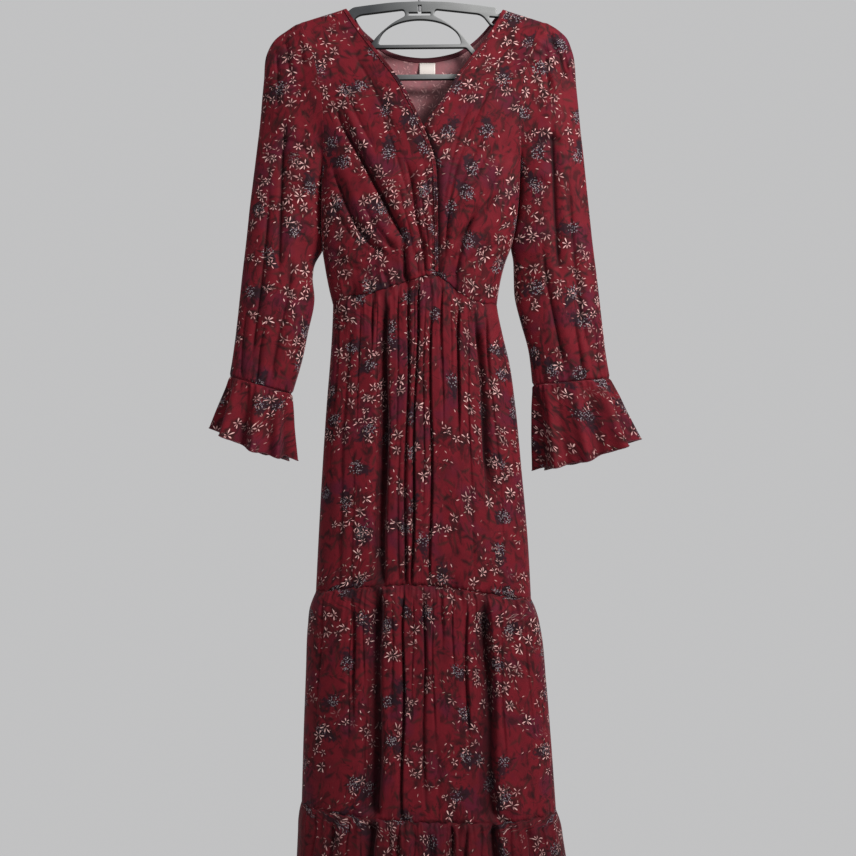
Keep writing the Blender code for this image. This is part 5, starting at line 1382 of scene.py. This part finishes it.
def moulded_plastic(tree):
    place, grain, handling = add_node(tree, "ShaderNodeTexCoord"), grain_of(tree, 1500.0), grain_of(tree, 34.0)
    x = add_node(tree, "ShaderNodeSeparateXYZ", (place["Object"],))["X"]
    # Painted light: the grey runs from near black at negative x to a light grey at positive x, the side towards
    # the key light.
    grey_with_painted_light = laid_over(over(x, -0.070, 0.150), (0.020, 0.022, 0.025), (0.205, 0.209, 0.208))
    grey_with_painted_light = laid_over(handling * 0.42, grey_with_painted_light, (0.046, 0.048, 0.050))
    # Painted shade: faces that point downwards turn nearly black and rougher.
    upward = add_node(tree, "ShaderNodeSeparateXYZ", (place["Normal"],))["Z"]
    painted_underside_shade = under(upward, -0.12, 0.36)
    return {"Base Color": laid_over(painted_underside_shade, grey_with_painted_light, (0.0020, 0.0021, 0.0023)), "Specular IOR Level": 0.32,
            "Roughness": handling * 0.20 + 0.38 + painted_underside_shade * 0.40, "Normal": raised_by(grain, 0.18, 0.0001)}


def bright_steel(tree):
    drawn = grain_of(tree, 420.0)
    return {"Base Color": laid_over(drawn, (0.11, 0.11, 0.115), (0.17, 0.17, 0.175)),
            "Roughness": drawn * 0.16 + 0.44, "Metallic": 1.0}


arch = [(arch_half_width * math.cos(angle), arch_base + arch_height * math.sin(angle) ** 0.9)
        for angle in np.linspace(0.0, math.pi, 41)[1:-1]]
corner = ((0.0, 0.0015), (arch_corner, 0.0))
arch += [(inwards - arch_half_width, arch_base + above) for inwards, above in corner]
arch += [(arch_half_width - inwards, arch_base + above) for inwards, above in reversed(corner)]
strap = softened(strap_hole)
drawing = drawn_curve("hanger_outline", dimensions="2D", fill_mode="BOTH", offset=-hanger_bevel,
                      extrude=hanger_thickness / 2 - hanger_bevel, bevel_depth=hanger_bevel, bevel_resolution=3)
for outline in (softened(mirrored(frame_top_left + frame_edge, frame_top_right + frame_edge)), arch,
                softened(mirrored(lower_opening)), softened(mirrored(stem_window)),
                strap, [(-x, z) for x, z in strap]):
    draw_line(drawing, [(x, z, 0.0) for x, z in outline], np.ones(len(outline))).use_cyclic_u = True
curve_to_piece("hanger_plastic_frame", "hanger_frame", drawing,
               mathutils.Matrix.Rotation(math.pi / 2, 4, "X"), material("dark_grey_plastic", moulded_plastic))

marks = marks_along(hook_stem)
stem = follow(np.column_stack((marks, hook_stem)), np.linspace(0.0, marks[-1], 30))
turns = np.radians(np.linspace(-50.0, 200.0, 61))
bend = hook_radius * np.stack((np.cos(turns), np.sin(turns)), axis=1) + (0.0, hook_wire / 2 - hook_radius)
tip = bend[-1] + np.outer((0.15, 0.25, 0.30), bend[-1] - bend[-2])
line = [(x, 0.0, z) for x, z in np.concatenate((stem[:-1], bend, tip))]
wire = drawn_curve("hook_wire", dimensions="3D", bevel_depth=hook_wire / 2, bevel_resolution=6,
                   use_fill_caps=True)
draw_line(wire, line, (*np.ones(len(line) - len(tip)), 0.90, 0.70, 0.40))
curve_to_piece("hanger_wire_hook", "hanger_hook", wire, mathutils.Matrix.Identity(4),
               material("bright_steel_wire", bright_steel))
